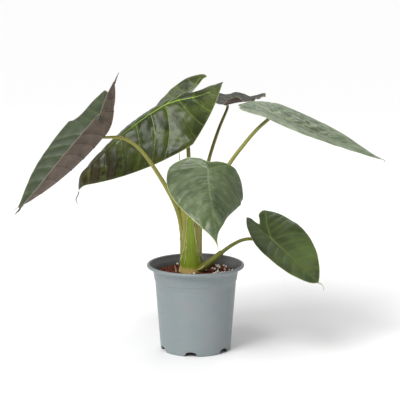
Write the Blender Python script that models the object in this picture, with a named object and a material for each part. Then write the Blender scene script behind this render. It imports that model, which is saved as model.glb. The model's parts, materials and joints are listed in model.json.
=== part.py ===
"""A potted alocasia: nursery pot, potting mix, corm, six leaves on their stalks and a rolled young leaf.

Metres, +Z up. The origin is the centre of the pot's base, and the front of the plant is -Y.
"""
import math
from dataclasses import dataclass

import bmesh
import bpy
import numpy as np
from mathutils import Vector
from mathutils.geometry import delaunay_2d_cdt

GAP = 0.0004                     # clearance between pieces that touch

# Pot: outer profile radii and heights
POT_HEIGHT = 0.125
POT_WALL = 0.0013
POT_SIDES = 48
FOOT_RADIUS = 0.0505
BODY_WAIST_Z = 0.045             # a ring of points half way up the body
BODY_TOP_RADIUS = 0.0581
BODY_TOP_Z = 0.0995
BAND_FOOT_RADIUS = 0.0594
BAND_FOOT_Z = 0.1035
BAND_TOP_RADIUS = 0.0612
BAND_TOP_Z = 0.1150
FLARE = ((0.0024, 0.0034), (0.0042, 0.0044))     # outside, out and up from the band's top
FLARE_INSIDE = ((0.0026, 0.0046), (0.0004, 0.0072))      # out from the band's top, down from the rim
RIM_RADIUS = 0.070
RIM_BEAD = 0.0024                # radius of the rolled edge's section
CORNER = 0.0015                  # rounding of the pot's foot
PAD_RADIUS = 0.034               # flat pad in the middle of the base
CHANNEL_LIFT = 0.005             # height of the drainage channel round the pad
CHANNEL_IN, CHANNEL_OUT = 0.037, 0.0455
NOTCHES = 6
NOTCH_WIDTH = 0.019
NOTCH_HEIGHT = 0.007
NOTCH_STEP = 0.0015              # small shoulder at each corner of a notch
NOTCH_FIRST_ANGLE = math.radians(251.5)

# Potting mix and the corm in its pit
SOIL_Z = 0.112
PIT_RADIUS = 0.0170
PIT_FLOOR_Z = 0.088
CORM_RADIUS = 0.0164
CORM_FOOT_Z = 0.0885
CORM_FOOT_HEIGHT = 0.006         # of its narrowed foot
STEM_AXIS = (-0.0065, 0.0)

# False stem: the sheathing bases stand round the young leaf as sectors of a ring
BASE_Z = 0.1104
STEM_RADIUS = 0.0152
STEM_CORE_RADIUS = 0.0034
STALK_SIDES = 12
STALK_RINGS = 26
BASE_UPRIGHT = 0.008             # height over which a base stands straight up

# Blade section
BLADE_THICKNESS = 0.0012
BLADE_SPACING = 0.012            # of the mesh's inner points
CREASE_RADIUS = 0.006            # how softly the two halves meet along the midrib
APPROACH = 0.006                 # last stretch of a stalk, square to its blade
DRIP_HALF_WIDTH = 0.0007

# Half outline of a blade, (along, across). Behind the junction "along" counts in lobe lengths and
# ahead of it in blade lengths. "Across" counts in half widths.
SINUS_SIDE = ((0.35, 0.10), (0.80, 0.20))        # along counts from the sinus to the lobe's end
LOBE_OUTLINE = ((-1.0, 0.40), (-0.97, 0.56), (-0.72, 0.83), (-0.30, 0.97))
FORE_OUTLINE = ((0.06, 1.0), (0.25, 0.93), (0.45, 0.76), (0.65, 0.50), (0.82, 0.23), (0.93, 0.07))


@dataclass(frozen=True)
class Blade:
    """One leaf blade. Angles in degrees, sizes in metres, left as seen along the midrib from above."""

    name: str
    junction: tuple              # where the stalk meets the blade
    heading: float               # of the midrib round Z, from +X
    pitch: float                 # of the midrib above the horizontal
    roll: float
    length: float                # junction to tip
    lobe: float                  # junction to the end of a back lobe
    sinus: float                 # foot of the sinus, as a part of lobe
    widths: tuple                # half widths, left and right
    droop: float                 # bend of the midrib over its length
    sway: float                  # sideways bend of the midrib
    twist: float
    lobe_rise: float
    folds: tuple                 # rise of each half from flat, left and right
    curls: tuple                 # downward bend across each half
    lobe_folds: tuple            # added to folds at the lobes' ends
    bluntness: tuple             # how far the width is carried towards the tip, left and right
    drip: float                  # length of the drip tip
    lobes: tuple = (1.0, 1.0)    # reach of each back lobe, as a part of lobe
    sinus_gap: tuple = (1.0, 1.0)        # how far each side of the sinus stands off the midrib
    hook: float = 0.0            # added bend of the last fifth


@dataclass(frozen=True)
class Stalk:
    """One petiole with its sheathing base."""

    name: str
    sector: tuple                # degrees round the stem that its base takes
    route: tuple                 # points of the centre line above the base
    sheath: float                # length of the sheathing part
    radii: tuple                 # at the end of the sheath and at the blade


BLADES = (
    Blade("leaf_far_left", (-0.124, -0.090, 0.321), 218, -42, -6, 0.158, 0.076, 0.54, (0.066, 0.068),
          -20, -5, 2, 42, (57, 24), (-12, 24), (-5, -47), (0.42, 0.26), 0.008, (1.04, 0.80), (1.6, 0.3)),
    Blade("leaf_upper_left", (-0.044, 0.045, 0.348), 197, -28, -12, 0.188, 0.082, 0.54, (0.078, 0.076),
          35, -21, -3, -9, (-40, -26), (0, -4), (63, 30), (0.26, 0.39), 0.010, (1.0, 1.0), (0.45, 1.9), 34),
    Blade("leaf_back", (0.046, 0.090, 0.344), 68, 4, 0, 0.150, 0.062, 0.25, (0.047, 0.048),
          12, 0, 0, 24, (19, 20), (20, 19), (22, -10), (0.1, 0.1), 0.008, (0.78, 0.85), (1.8, 1.8)),
    Blade("leaf_right", (0.108, 0.000, 0.342), 348, -22.5, 15, 0.169, 0.043, 1.18, (0.056, 0.054),
          4, 14, 5, -14, (2, 27), (25, 25), (-5, -2), (-0.07, 0.25), 0.006),
    Blade("leaf_front", (0.017, -0.100, 0.277), 270, -26, -7, 0.128, 0.020, 0.68, (0.066, 0.0585),
          31, 16, -5, 25, (-20, -13.5), (41, 28), (0, 5), (-0.45, -0.01), 0.008),
    Blade("leaf_low_right", (0.109, -0.020, 0.164), 325, -35, 17, 0.091, 0.045, 0.65, (0.050, 0.042),
          5, 6, 8, 12, (16, 21), (13, 11), (-20, 12), (0.39, 0.52), 0.012),
)

STALKS = (
    Stalk("petiole_far_left", (164, 228),
          ((-0.0178, -0.0055, 0.161), (-0.0225, -0.0120, 0.194), (-0.0315, -0.0250, 0.222),
           (-0.049, -0.046, 0.258), (-0.069, -0.066, 0.292), (-0.085, -0.078, 0.310), (-0.102, -0.086, 0.319)),
          0.105, (0.0034, 0.0018)),
    Stalk("petiole_upper_left", (102, 162),
          ((-0.012, 0.009, 0.158), (-0.010, 0.014, 0.215), (-0.010, 0.021, 0.276), (-0.012, 0.026, 0.296),
           (-0.017, 0.036, 0.314), (-0.026, 0.050, 0.330)), 0.080, (0.0034, 0.0022)),
    Stalk("petiole_back", (44, 100),
          ((-0.003, 0.009, 0.158), (0.006, 0.020, 0.215), (0.019, 0.038, 0.269), (0.033, 0.064, 0.309)),
          0.070, (0.0030, 0.0019)),
    Stalk("petiole_right", (-13, 42),
          ((0.002, 0.002, 0.155), (0.016, 0.004, 0.209), (0.046, 0.006, 0.265), (0.070, 0.006, 0.298),
           (0.087, 0.005, 0.318)), 0.065, (0.0033, 0.0023)),
    Stalk("petiole_front", (230, 290),
          ((-0.0095, -0.0118, 0.150), (-0.0085, -0.0170, 0.190), (-0.003, -0.036, 0.228),
           (0.008, -0.070, 0.252)), 0.070, (0.0030, 0.0018)),
    Stalk("petiole_low_right", (292, 345),
          ((0.010, -0.011, 0.121), (0.0235, -0.012, 0.132), (0.0375, -0.009, 0.143), (0.052, -0.006, 0.153),
           (0.068, -0.003, 0.160), (0.084, -0.003, 0.161)), 0.036, (0.0029, 0.0020)),
)

YOUNG_LEAF_ROUTE = ((-0.0065, 0.0, 0.1104), (-0.0075, 0.0, 0.140), (-0.0135, 0.002, 0.196),
                    (-0.0205, 0.006, 0.254), (-0.0240, 0.009, 0.290))
YOUNG_LEAF_RADII = (0.0028, 0.0022, 0.0004)      # foot, at seven tenths, tip
YOUNG_LEAF_RINGS = 18
YOUNG_LEAF_SIDES = 8

DRY_STUB_FOOT = (-0.0272, -0.004)
DRY_STUB_HEIGHT = 0.011
DRY_STUB_WIDTH = 0.006
DRY_STUB_THICKNESS = 0.0012
DRY_STUB_LEAN = 0.002

POT_COLOUR = (0.29, 0.34, 0.35)
SOIL_COLOUR = (0.09, 0.035, 0.022)
STALK_COLOUR = (0.27, 0.30, 0.05)
YOUNG_COLOUR = (0.45, 0.55, 0.12)
CORM_COLOUR = (0.30, 0.22, 0.12)
STUB_COLOUR = (0.50, 0.38, 0.24)
BLADE_COLOURS = {
    "leaf_far_left": (0.13, 0.09, 0.075),
    "leaf_upper_left": (0.045, 0.085, 0.018),
    "leaf_back": (0.10, 0.06, 0.06),
    "leaf_right": (0.22, 0.29, 0.20),
    "leaf_front": (0.085, 0.14, 0.07),
    "leaf_low_right": (0.055, 0.11, 0.035),
}


def clear_scene():
    """Remove every object of the open scene."""
    for old in list(bpy.data.objects):
        bpy.data.objects.remove(old, do_unlink=True)


def material(name, colour, roughness):
    """A Principled material with one colour."""
    made = bpy.data.materials.new(name)
    made.use_nodes = True
    shader = made.node_tree.nodes["Principled BSDF"]
    shader.inputs["Base Color"].default_value = (*colour, 1.0)
    shader.inputs["Roughness"].default_value = roughness
    shader.inputs["Metallic"].default_value = 0.0
    return made


def object_from(name, points, faces, colour, roughness, smooth_angle=60):
    """A mesh object with outward faces, shaded smooth up to an angle in degrees."""
    mesh = bpy.data.meshes.new(name)
    mesh.from_pydata([tuple(map(float, p)) for p in points], [], faces)
    shape = bmesh.new()
    shape.from_mesh(mesh)
    bmesh.ops.recalc_face_normals(shape, faces=shape.faces)
    shape.to_mesh(mesh)
    shape.free()
    mesh.shade_smooth()
    mesh.set_sharp_from_angle(angle=math.radians(smooth_angle))
    made = bpy.data.objects.new(name, mesh)
    bpy.context.scene.collection.objects.link(made)
    made.data.materials.append(material(name, colour, roughness))
    return made


def turned(name, profile, sides, colour, roughness, centre=(0.0, 0.0)):
    """Turn a closed profile of (radius, z) round a vertical axis; points on the axis become poles."""
    points, rings, faces = [], [], []
    for radius, z in profile:
        if radius < 1e-6:
            rings.append([len(points)] * sides)
            points.append((centre[0], centre[1], z))
            continue
        rings.append(list(range(len(points), len(points) + sides)))
        for k in range(sides):
            a = math.tau * k / sides
            points.append((centre[0] + radius * math.cos(a), centre[1] + radius * math.sin(a), z))
    for i, ring in enumerate(rings):
        above = rings[(i + 1) % len(rings)]
        if ring[0] == ring[1] and above[0] == above[1]:
            continue
        for k in range(sides):
            n = (k + 1) % sides
            corners = list(dict.fromkeys((ring[k], ring[n], above[n], above[k])))
            faces.append(corners)
    return object_from(name, points, faces, colour, roughness, 35)


def smooth_route(route, per_span):
    """Points of a Catmull-Rom curve through a route."""
    knots = np.array(route, float)
    knots = np.vstack([2 * knots[0] - knots[1], knots, 2 * knots[-1] - knots[-2]])
    found = []
    for i in range(1, len(knots) - 2):
        a, b, c, d = knots[i - 1:i + 3]
        for s in np.arange(per_span) / per_span:
            found.append(0.5 * (2 * b + (c - a) * s + (2 * a - 5 * b + 4 * c - d) * s ** 2
                                + (3 * b - a - 3 * c + d) * s ** 3))
    found.append(knots[-2])
    return np.array(found)


# Pot, potting mix and corm

def body_radius(z):
    """Outer radius of the pot's tapering body."""
    return FOOT_RADIUS + (BODY_TOP_RADIUS - FOOT_RADIUS) * z / BODY_TOP_Z


def rim_profile():
    """The rolled edge, from the outside of its root over the top to the inside."""
    centre_r, centre_z = RIM_RADIUS - RIM_BEAD, POT_HEIGHT - RIM_BEAD
    return [(centre_r + RIM_BEAD * math.cos(a), centre_z + RIM_BEAD * math.sin(a))
            for a in np.radians((-125, -85, -40, 5, 50, 95, 140))]


def make_pot():
    """Thin-walled pot: tapering body, upper band, rolled rim, and a base with feet and a channel."""
    inside_foot = FOOT_RADIUS - POT_WALL
    waist = body_radius(BODY_WAIST_Z)
    outer = [(FOOT_RADIUS - CORNER, 0.0), (FOOT_RADIUS, CORNER), (waist, BODY_WAIST_Z),
             (BODY_TOP_RADIUS, BODY_TOP_Z), (BAND_FOOT_RADIUS, BAND_FOOT_Z), (BAND_TOP_RADIUS, BAND_TOP_Z)]
    outer += [(BAND_TOP_RADIUS + out, BAND_TOP_Z + up) for out, up in FLARE]
    inner = [(BAND_TOP_RADIUS + out, POT_HEIGHT - down) for out, down in FLARE_INSIDE]
    inner += [(BAND_TOP_RADIUS - POT_WALL, BAND_TOP_Z - GAP), (BAND_FOOT_RADIUS - POT_WALL, BAND_FOOT_Z + GAP),
              (BODY_TOP_RADIUS - POT_WALL, BODY_TOP_Z - GAP), (waist - POT_WALL, BODY_WAIST_Z),
              (inside_foot, CHANNEL_LIFT + POT_WALL)]
    floor_top = [(CHANNEL_IN + POT_WALL / 2, CHANNEL_LIFT + POT_WALL), (PAD_RADIUS + POT_WALL / 2, POT_WALL),
                 (0.0, POT_WALL)]
    floor_under = [(0.0, 0.0), (PAD_RADIUS, 0.0), (CHANNEL_IN, CHANNEL_LIFT), (CHANNEL_OUT, CHANNEL_LIFT),
                   (CHANNEL_OUT + POT_WALL, 0.0)]
    pot = turned("pot", outer + rim_profile() + inner + floor_top + floor_under, POT_SIDES,
                 POT_COLOUR, 0.45)
    for k in range(NOTCHES):
        cutter = notch_cutter(k)
        cut = pot.modifiers.new(cutter.name, "BOOLEAN")
        cut.operation = "DIFFERENCE"
        cut.object = cutter
    return pot


def notch_cutter(k):
    """The arch of one drainage notch, run out through the pot's foot."""
    angle = NOTCH_FIRST_ANGLE + k * math.tau / NOTCHES
    half, step, low = NOTCH_WIDTH / 2, NOTCH_STEP, -0.002
    crown = [(half * math.sin(a), NOTCH_HEIGHT - step + step * math.cos(a))
             for a in np.radians((60, 30, 0, -30, -60))]
    outline = [(half, low), (half, step), (half - step, step), (half - step, NOTCH_HEIGHT - 2 * step)]
    outline += [(x * 0.8, z) for x, z in crown]
    outline += [(-x, z) for x, z in reversed(outline[:4])]
    out = Vector((math.cos(angle), math.sin(angle), 0))
    side = Vector((-math.sin(angle), math.cos(angle), 0))
    inner_r, outer_r = CHANNEL_OUT - 0.002, FOOT_RADIUS + 0.006
    points = [out * r + side * x + Vector((0, 0, z)) for r in (inner_r, outer_r) for x, z in outline]
    n = len(outline)
    faces = [tuple(range(n)), tuple(range(n, 2 * n))]
    faces += [(i, (i + 1) % n, (i + 1) % n + n, i + n) for i in range(n)]
    cutter = object_from(f"notch_cutter_{k}", points, faces, POT_COLOUR, 0.5)
    cutter.hide_render = True
    cutter.display_type = "WIRE"
    return cutter


def make_potting_mix():
    """The plug of mix: it follows the pot's inside with a gap and has a pit for the corm."""
    clear = POT_WALL + GAP
    floor = CHANNEL_LIFT + POT_WALL + GAP
    outline = [(0.0, POT_WALL + GAP), (PAD_RADIUS - GAP, POT_WALL + GAP), (CHANNEL_IN - GAP, floor),
               (FOOT_RADIUS - POT_WALL - 3 * GAP, floor),
               (body_radius(BODY_WAIST_Z) - clear, BODY_WAIST_Z),
               (BODY_TOP_RADIUS - clear, BODY_TOP_Z - 2 * GAP),
               (BAND_FOOT_RADIUS - clear - GAP, BAND_FOOT_Z + 2 * GAP), (BAND_FOOT_RADIUS - clear, SOIL_Z)]
    mix = turned("potting_mix", outline + [(0.0, SOIL_Z)], POT_SIDES, SOIL_COLOUR, 0.95)
    pit = turned("pit_cutter", [(0.0, PIT_FLOOR_Z), (PIT_RADIUS, PIT_FLOOR_Z), (PIT_RADIUS, SOIL_Z + 0.01),
                                (0.0, SOIL_Z + 0.01)], 32, SOIL_COLOUR, 0.95, STEM_AXIS)
    pit.hide_render = True
    pit.display_type = "WIRE"
    cut = mix.modifiers.new("pit", "BOOLEAN")
    cut.operation = "DIFFERENCE"
    cut.object = pit
    return mix


def make_corm():
    """The short stem base, waisted towards its foot, under the sheathing bases."""
    top = BASE_Z - GAP
    profile = [(0.0, CORM_FOOT_Z), (CORM_RADIUS * 0.7, CORM_FOOT_Z),
               (CORM_RADIUS, CORM_FOOT_Z + CORM_FOOT_HEIGHT),
               (CORM_RADIUS, top - 0.002), (CORM_RADIUS - 0.001, top), (0.0, top)]
    return turned("corm", profile, 28, CORM_COLOUR, 0.8, STEM_AXIS)


# Stalks

def sector_section(sector):
    """Outline of a sheathing base: 7 points on its outside, then side, inside and side."""
    lost = math.degrees(GAP / STEM_RADIUS)
    a0, a1 = sector[0] + lost, sector[1] - lost
    core_lost = math.degrees(GAP / STEM_CORE_RADIUS)
    b0, b1 = sector[0] + core_lost, sector[1] - core_lost
    middle_radius = (STEM_RADIUS + STEM_CORE_RADIUS) / 2
    middle_lost = math.degrees(GAP / middle_radius)
    places = [(STEM_RADIUS, a) for a in np.linspace(a0, a1, 7)]
    places.append((middle_radius, sector[1] - middle_lost))
    places += [(STEM_CORE_RADIUS, a) for a in np.linspace(b1, b0, 3)]
    places.append((middle_radius, sector[0] + middle_lost))
    return np.array([(r * math.cos(math.radians(a)), r * math.sin(math.radians(a))) for r, a in places])


def round_section(radius, middle_angle):
    """Twelve points on a circle, matched one by one to those of sector_section."""
    angles = np.radians(middle_angle - 90 + 30 * np.arange(STALK_SIDES))
    return radius * np.stack([np.cos(angles), np.sin(angles)], axis=1)


def upright_frame(tangent):
    """The X and Y axes after the shortest turn that takes +Z to the tangent."""
    turn = Vector((0, 0, 1)).rotation_difference(Vector(tangent))
    return np.array(turn @ Vector((1, 0, 0))), np.array(turn @ Vector((0, 1, 0)))


def blend(x):
    """Smooth step from 0 to 1."""
    x = min(max(x, 0.0), 1.0)
    return x * x * (3 - 2 * x)


def spread(points, count):
    """Points at equal steps of length along a polyline, with the length from its start."""
    run = np.concatenate([[0], np.cumsum(np.linalg.norm(np.diff(points, axis=0), axis=1))])
    wanted = np.linspace(0, run[-1], count)
    return np.stack([np.interp(wanted, run, points[:, k]) for k in range(3)], axis=1), wanted


def tube_faces(rings, sides):
    """Side faces and two caps of a lofted tube."""
    faces = [tuple(reversed(range(sides))), tuple(range((rings - 1) * sides, rings * sides))]
    for i in range(rings - 1):
        for k in range(sides):
            n = (k + 1) % sides
            faces.append((i * sides + k, i * sides + n, (i + 1) * sides + n, (i + 1) * sides + k))
    return faces


def make_stalk(stalk, blade):
    """Loft a petiole from its sector of the stem to the underside of its blade."""
    section = sector_section(stalk.sector)
    centroid = section.mean(axis=0)
    middle_angle = sum(stalk.sector) / 2
    base = np.array((STEM_AXIS[0] + centroid[0], STEM_AXIS[1] + centroid[1], BASE_Z))
    normal = blade_frames(blade)[2][blade_frames(blade)[0] == 0][0][:, 2]
    end_radius = stalk.radii[1]
    slope = math.tan(math.radians(max(0.0, -min(blade.folds))))
    stand_off = BLADE_THICKNESS / 2 + 1.5 * GAP + end_radius * slope
    end = np.array(blade.junction) - normal * stand_off
    route = [base, base + np.array((0, 0, BASE_UPRIGHT)), *map(np.array, stalk.route),
             np.array(blade.junction) - normal * (stand_off + APPROACH), end]
    centres, run = spread(smooth_route(route, 10), STALK_RINGS)
    tangents = np.gradient(centres, axis=0)
    tangents[0] = (0, 0, 1)
    tangents[-1] = normal
    offset = section - centroid
    points = []
    for centre, tangent, length in zip(centres, tangents, run):
        sheathing = 1 - blend(length / stalk.sheath)
        along = min(max((length - stalk.sheath) / (run[-1] - stalk.sheath), 0.0), 1.0)
        radius = stalk.radii[0] + (end_radius - stalk.radii[0]) * along
        flat = sheathing * offset + (1 - sheathing) * round_section(radius, middle_angle)
        across, up = upright_frame(tangent / np.linalg.norm(tangent))
        points += [centre + x * across + y * up for x, y in flat]
    return object_from(stalk.name, points, tube_faces(STALK_RINGS, STALK_SIDES), STALK_COLOUR, 0.45)


def make_young_leaf():
    """The rolled young leaf: a slender spear from the middle of the stem."""
    centres, run = spread(smooth_route(YOUNG_LEAF_ROUTE, 10), YOUNG_LEAF_RINGS)
    tangents = np.gradient(centres, axis=0)
    points = []
    for centre, tangent, length in zip(centres, tangents, run):
        radius = float(np.interp(length / run[-1], (0, 0.7, 1), YOUNG_LEAF_RADII))
        across, up = upright_frame(tangent / np.linalg.norm(tangent))
        points += [centre + radius * (math.cos(a) * across + math.sin(a) * up)
                   for a in np.arange(YOUNG_LEAF_SIDES) * math.tau / YOUNG_LEAF_SIDES]
    return object_from("new_leaf", points, tube_faces(YOUNG_LEAF_RINGS, YOUNG_LEAF_SIDES), YOUNG_COLOUR, 0.4)


def make_dry_stub():
    """The dried stub of an old leaf base: a small curved, pointed plate beside the stem."""
    points = []
    rows = (0.0, 0.35, 0.7, 1.0)
    for row in rows:
        width = DRY_STUB_WIDTH * (1 - 0.75 * row ** 1.5)
        bow = 0.0012 * (1 - row)
        for side, x in ((1, -0.5), (1, 0.0), (1, 0.5), (-1, 0.5), (-1, 0.0), (-1, -0.5)):
            depth = side * DRY_STUB_THICKNESS / 2 + bow * (1 - 4 * x * x)
            points.append((DRY_STUB_FOOT[0] - depth - DRY_STUB_LEAN * row, DRY_STUB_FOOT[1] + x * width,
                           SOIL_Z + GAP + DRY_STUB_HEIGHT * row))
    return object_from("dry_sheath", points, tube_faces(len(rows), 6), STUB_COLOUR, 0.9)


# Blades

def turns(axis, angles):
    """Rotation matrices about one axis (0 along, 1 left, 2 up) for an array of angles in degrees."""
    a = np.radians(angles)
    i, j = [(1, 2), (2, 0), (0, 1)][axis]
    found = np.zeros((len(a), 3, 3))
    found[:, axis, axis] = 1
    found[:, i, i] = found[:, j, j] = np.cos(a)
    found[:, i, j], found[:, j, i] = -np.sin(a), np.sin(a)
    return found


def blade_frames(blade):
    """Stations on the midrib, their places and their frames (columns: along, left, up)."""
    heading, pitch, roll = (math.radians(a) for a in (blade.heading, blade.pitch, blade.roll))
    level_part = math.cos(pitch)
    along = np.array((math.cos(heading) * level_part, math.sin(heading) * level_part, math.sin(pitch)))
    level = np.array((-math.sin(heading), math.cos(heading), 0))
    left = level * math.cos(roll) + np.cross(along, level) * math.sin(roll)
    start = np.stack([along, left, np.cross(along, left)], axis=1)
    part = np.linspace(0, 1, 41)
    hook = blade.hook * np.array([blend(5 * x - 4) for x in part])
    pieces = []
    kink = 1 - (1 - part) ** 4
    for sign, length, sway, bend, twist in (
            (-1, blade.lobe, 0 * part, blade.lobe_rise * kink, 0 * part),
            (1, blade.length, blade.sway * part, blade.droop * part + hook, blade.twist * part)):
        frames = start @ turns(2, sway) @ turns(1, bend) @ turns(0, twist)
        steps = (frames[1:, :, 0] + frames[:-1, :, 0]) / 2 * sign * length / (len(part) - 1)
        places = np.array(blade.junction) + np.vstack([np.zeros(3), np.cumsum(steps, axis=0)])
        pieces.append((sign * length * part, places, frames))
    (u0, p0, f0), (u1, p1, f1) = pieces
    return (np.concatenate([u0[::-1], u1[1:]]), np.concatenate([p0[::-1], p1[1:]]),
            np.concatenate([f0[::-1], f1[1:]]))


def blade_surface(blade, flat):
    """Places in space of points (along, across) of the flat blade, across positive on the left."""
    stations, places, frames = blade_frames(blade)
    u, v = flat[:, 0], flat[:, 1]
    is_left = v >= 0

    def halves(pair):
        return np.where(is_left, pair[0], pair[1])

    centre = np.stack([np.interp(u, stations, places[:, k]) for k in range(3)], axis=1)
    beyond = np.maximum(u - blade.length, 0)[:, None] * frames[-1][:, 0]
    beyond += np.minimum(u + blade.lobe, 0)[:, None] * frames[0][:, 0]
    left = np.stack([np.interp(u, stations, frames[:, k, 1]) for k in range(3)], axis=1)
    up = np.stack([np.interp(u, stations, frames[:, k, 2]) for k in range(3)], axis=1)
    back = np.clip(-u / blade.lobe, 0, 1)
    rise = np.radians(halves(blade.folds) + back * halves(blade.lobe_folds))
    curl = np.radians(halves(blade.curls)) / halves(blade.widths)
    curl = np.where(np.abs(curl) < 1e-6, 1e-6, curl)
    reach = np.hypot(v, CREASE_RADIUS) - CREASE_RADIUS
    out = (np.sin(rise) - np.sin(rise - curl * reach)) / curl + np.abs(v) - reach
    height = (np.cos(rise - curl * reach) - np.cos(rise)) / curl
    side = np.where(is_left, 1.0, -1.0)
    return centre + beyond + (side * out)[:, None] * left + height[:, None] * up


def half_outline(blade, side):
    """Flat outline of one half, from the foot of the sinus round the lobe to the drip tip."""
    lobe, width, reach = blade.lobe, blade.widths[side], blade.lobes[side]
    carried = 1 - blade.bluntness[side]
    knots = [(-blade.sinus * lobe, 0.0)]
    for u, v in SINUS_SIDE:
        knots.append((-(blade.sinus + (reach - blade.sinus) * u) * lobe, v * width * blade.sinus_gap[side]))
    knots += [(u * lobe * reach, v * width) for u, v in LOBE_OUTLINE]
    knots += [(u * blade.length, v ** carried * width) for u, v in FORE_OUTLINE]
    knots += [(blade.length, DRIP_HALF_WIDTH), (blade.length + blade.drip, DRIP_HALF_WIDTH * 0.7)]
    curve = smooth_route([(u, v, 0.0) for u, v in knots[:-1]], 3)
    flat = np.vstack([curve[:, :2], knots[-1]])
    flat[:, 1] = np.maximum(flat[:, 1], 0.0)
    return flat * (1, (1, -1)[side])


def flat_mesh(blade):
    """Triangulate the flat blade: its outline, a crease along the midrib and evenly spaced points."""
    left, right = half_outline(blade, 0), half_outline(blade, 1)
    rim = np.vstack([left, right[::-1][:-1]])
    crease_u = np.arange(-blade.sinus * blade.lobe + BLADE_SPACING, blade.length - 0.002, BLADE_SPACING)
    crease = np.stack([crease_u, np.zeros_like(crease_u)], axis=1)
    ends = np.concatenate([[0], np.arange(len(rim), len(rim) + len(crease))])
    rows = []
    for row, v in enumerate(np.arange(-0.12, 0.12, BLADE_SPACING * 0.866)):
        shift = BLADE_SPACING / 2 * (row % 2)
        rows += [(u + shift, v) for u in np.arange(-0.12, 0.24, BLADE_SPACING)]
    inner = [p for p in rows if abs(p[1]) > BLADE_SPACING * 0.6 and inside(p, rim)
             and np.min(np.linalg.norm(rim - p, axis=1)) > BLADE_SPACING * 0.62]
    flat = np.vstack([rim, crease, inner])
    edges = [(i, (i + 1) % len(rim)) for i in range(len(rim))] + list(zip(ends[:-1], ends[1:]))
    corners = [Vector(p) for p in flat.tolist()]
    found = delaunay_2d_cdt(corners, [(int(a), int(b)) for a, b in edges], [], 1, 1e-7)
    return np.array([tuple(p) for p in found[0]]), [tuple(face) for face in found[2]]


def inside(point, rim):
    """Whether a flat point is inside a closed outline (crossing count)."""
    a, b = rim, np.roll(rim, -1, axis=0)
    spans = (a[:, 1] > point[1]) != (b[:, 1] > point[1])
    a, b = a[spans], b[spans]
    crossings = a[:, 0] + (point[1] - a[:, 1]) / (b[:, 1] - a[:, 1]) * (b[:, 0] - a[:, 0])
    return bool(np.count_nonzero(crossings > point[0]) % 2)


def make_blade(blade):
    """A leaf blade as a thin closed sheet round its middle surface."""
    flat, faces = flat_mesh(blade)
    middle = blade_surface(blade, flat)
    normals = np.zeros_like(middle)
    for face in faces:
        a, b, c = (middle[i] for i in face[:3])
        normals[list(face)] += np.cross(b - a, c - a)
    normals /= np.linalg.norm(normals, axis=1)[:, None]
    half = BLADE_THICKNESS / 2
    count = len(middle)
    points = np.vstack([middle + normals * half, middle - normals * half])
    uses = {}
    for face in faces:
        for a, b in zip(face, face[1:] + face[:1]):
            uses[(a, b)] = uses.get((a, b), 0) + 1
    edge_loop = [(a, b) for a, b in uses if (b, a) not in uses]
    skins = faces + [tuple(i + count for i in reversed(face)) for face in faces]
    walls = [(b, a, a + count, b + count) for a, b in edge_loop]
    return object_from(blade.name, points, skins + walls, BLADE_COLOURS[blade.name], 0.4, 70)


def build():
    """Make every piece."""
    clear_scene()
    make_pot()
    make_potting_mix()
    make_corm()
    make_young_leaf()
    make_dry_stub()
    for stalk, blade in zip(STALKS, BLADES):
        make_blade(blade)
        make_stalk(stalk, blade)


build()
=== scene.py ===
"""Looks of a potted alocasia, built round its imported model.

Metres, +Z up. The origin is the centre of the pot's base and the front of the plant is -Y.
"""

import json
import logging
import math
from dataclasses import dataclass
from enum import Enum

import bmesh
import bpy
import numpy as np
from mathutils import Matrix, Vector, noise
from mathutils.geometry import delaunay_2d_cdt

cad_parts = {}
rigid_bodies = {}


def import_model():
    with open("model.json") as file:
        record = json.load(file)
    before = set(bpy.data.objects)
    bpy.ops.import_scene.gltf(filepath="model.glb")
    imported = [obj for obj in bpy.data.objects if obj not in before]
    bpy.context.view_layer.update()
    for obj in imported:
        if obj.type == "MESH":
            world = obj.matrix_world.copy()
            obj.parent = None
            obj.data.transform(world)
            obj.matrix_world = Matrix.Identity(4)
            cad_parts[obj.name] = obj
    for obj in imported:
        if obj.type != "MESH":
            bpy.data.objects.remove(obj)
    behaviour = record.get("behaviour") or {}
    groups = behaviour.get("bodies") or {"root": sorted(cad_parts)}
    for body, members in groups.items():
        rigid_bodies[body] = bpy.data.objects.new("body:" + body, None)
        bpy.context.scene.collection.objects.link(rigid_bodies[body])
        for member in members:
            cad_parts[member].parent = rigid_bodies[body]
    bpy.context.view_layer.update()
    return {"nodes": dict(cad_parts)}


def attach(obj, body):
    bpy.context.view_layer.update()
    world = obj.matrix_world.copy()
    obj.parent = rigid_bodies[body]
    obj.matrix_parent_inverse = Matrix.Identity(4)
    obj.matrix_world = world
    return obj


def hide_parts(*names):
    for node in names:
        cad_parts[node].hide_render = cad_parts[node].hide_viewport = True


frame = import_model()

LOG = logging.getLogger("alocasia")
Colour = tuple[float, float, float]
Point = tuple[float, float, float]
Pair = tuple[float, float]
Faces = list[tuple[int, ...]]
Socket = bpy.types.NodeSocket


# Meshes


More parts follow.
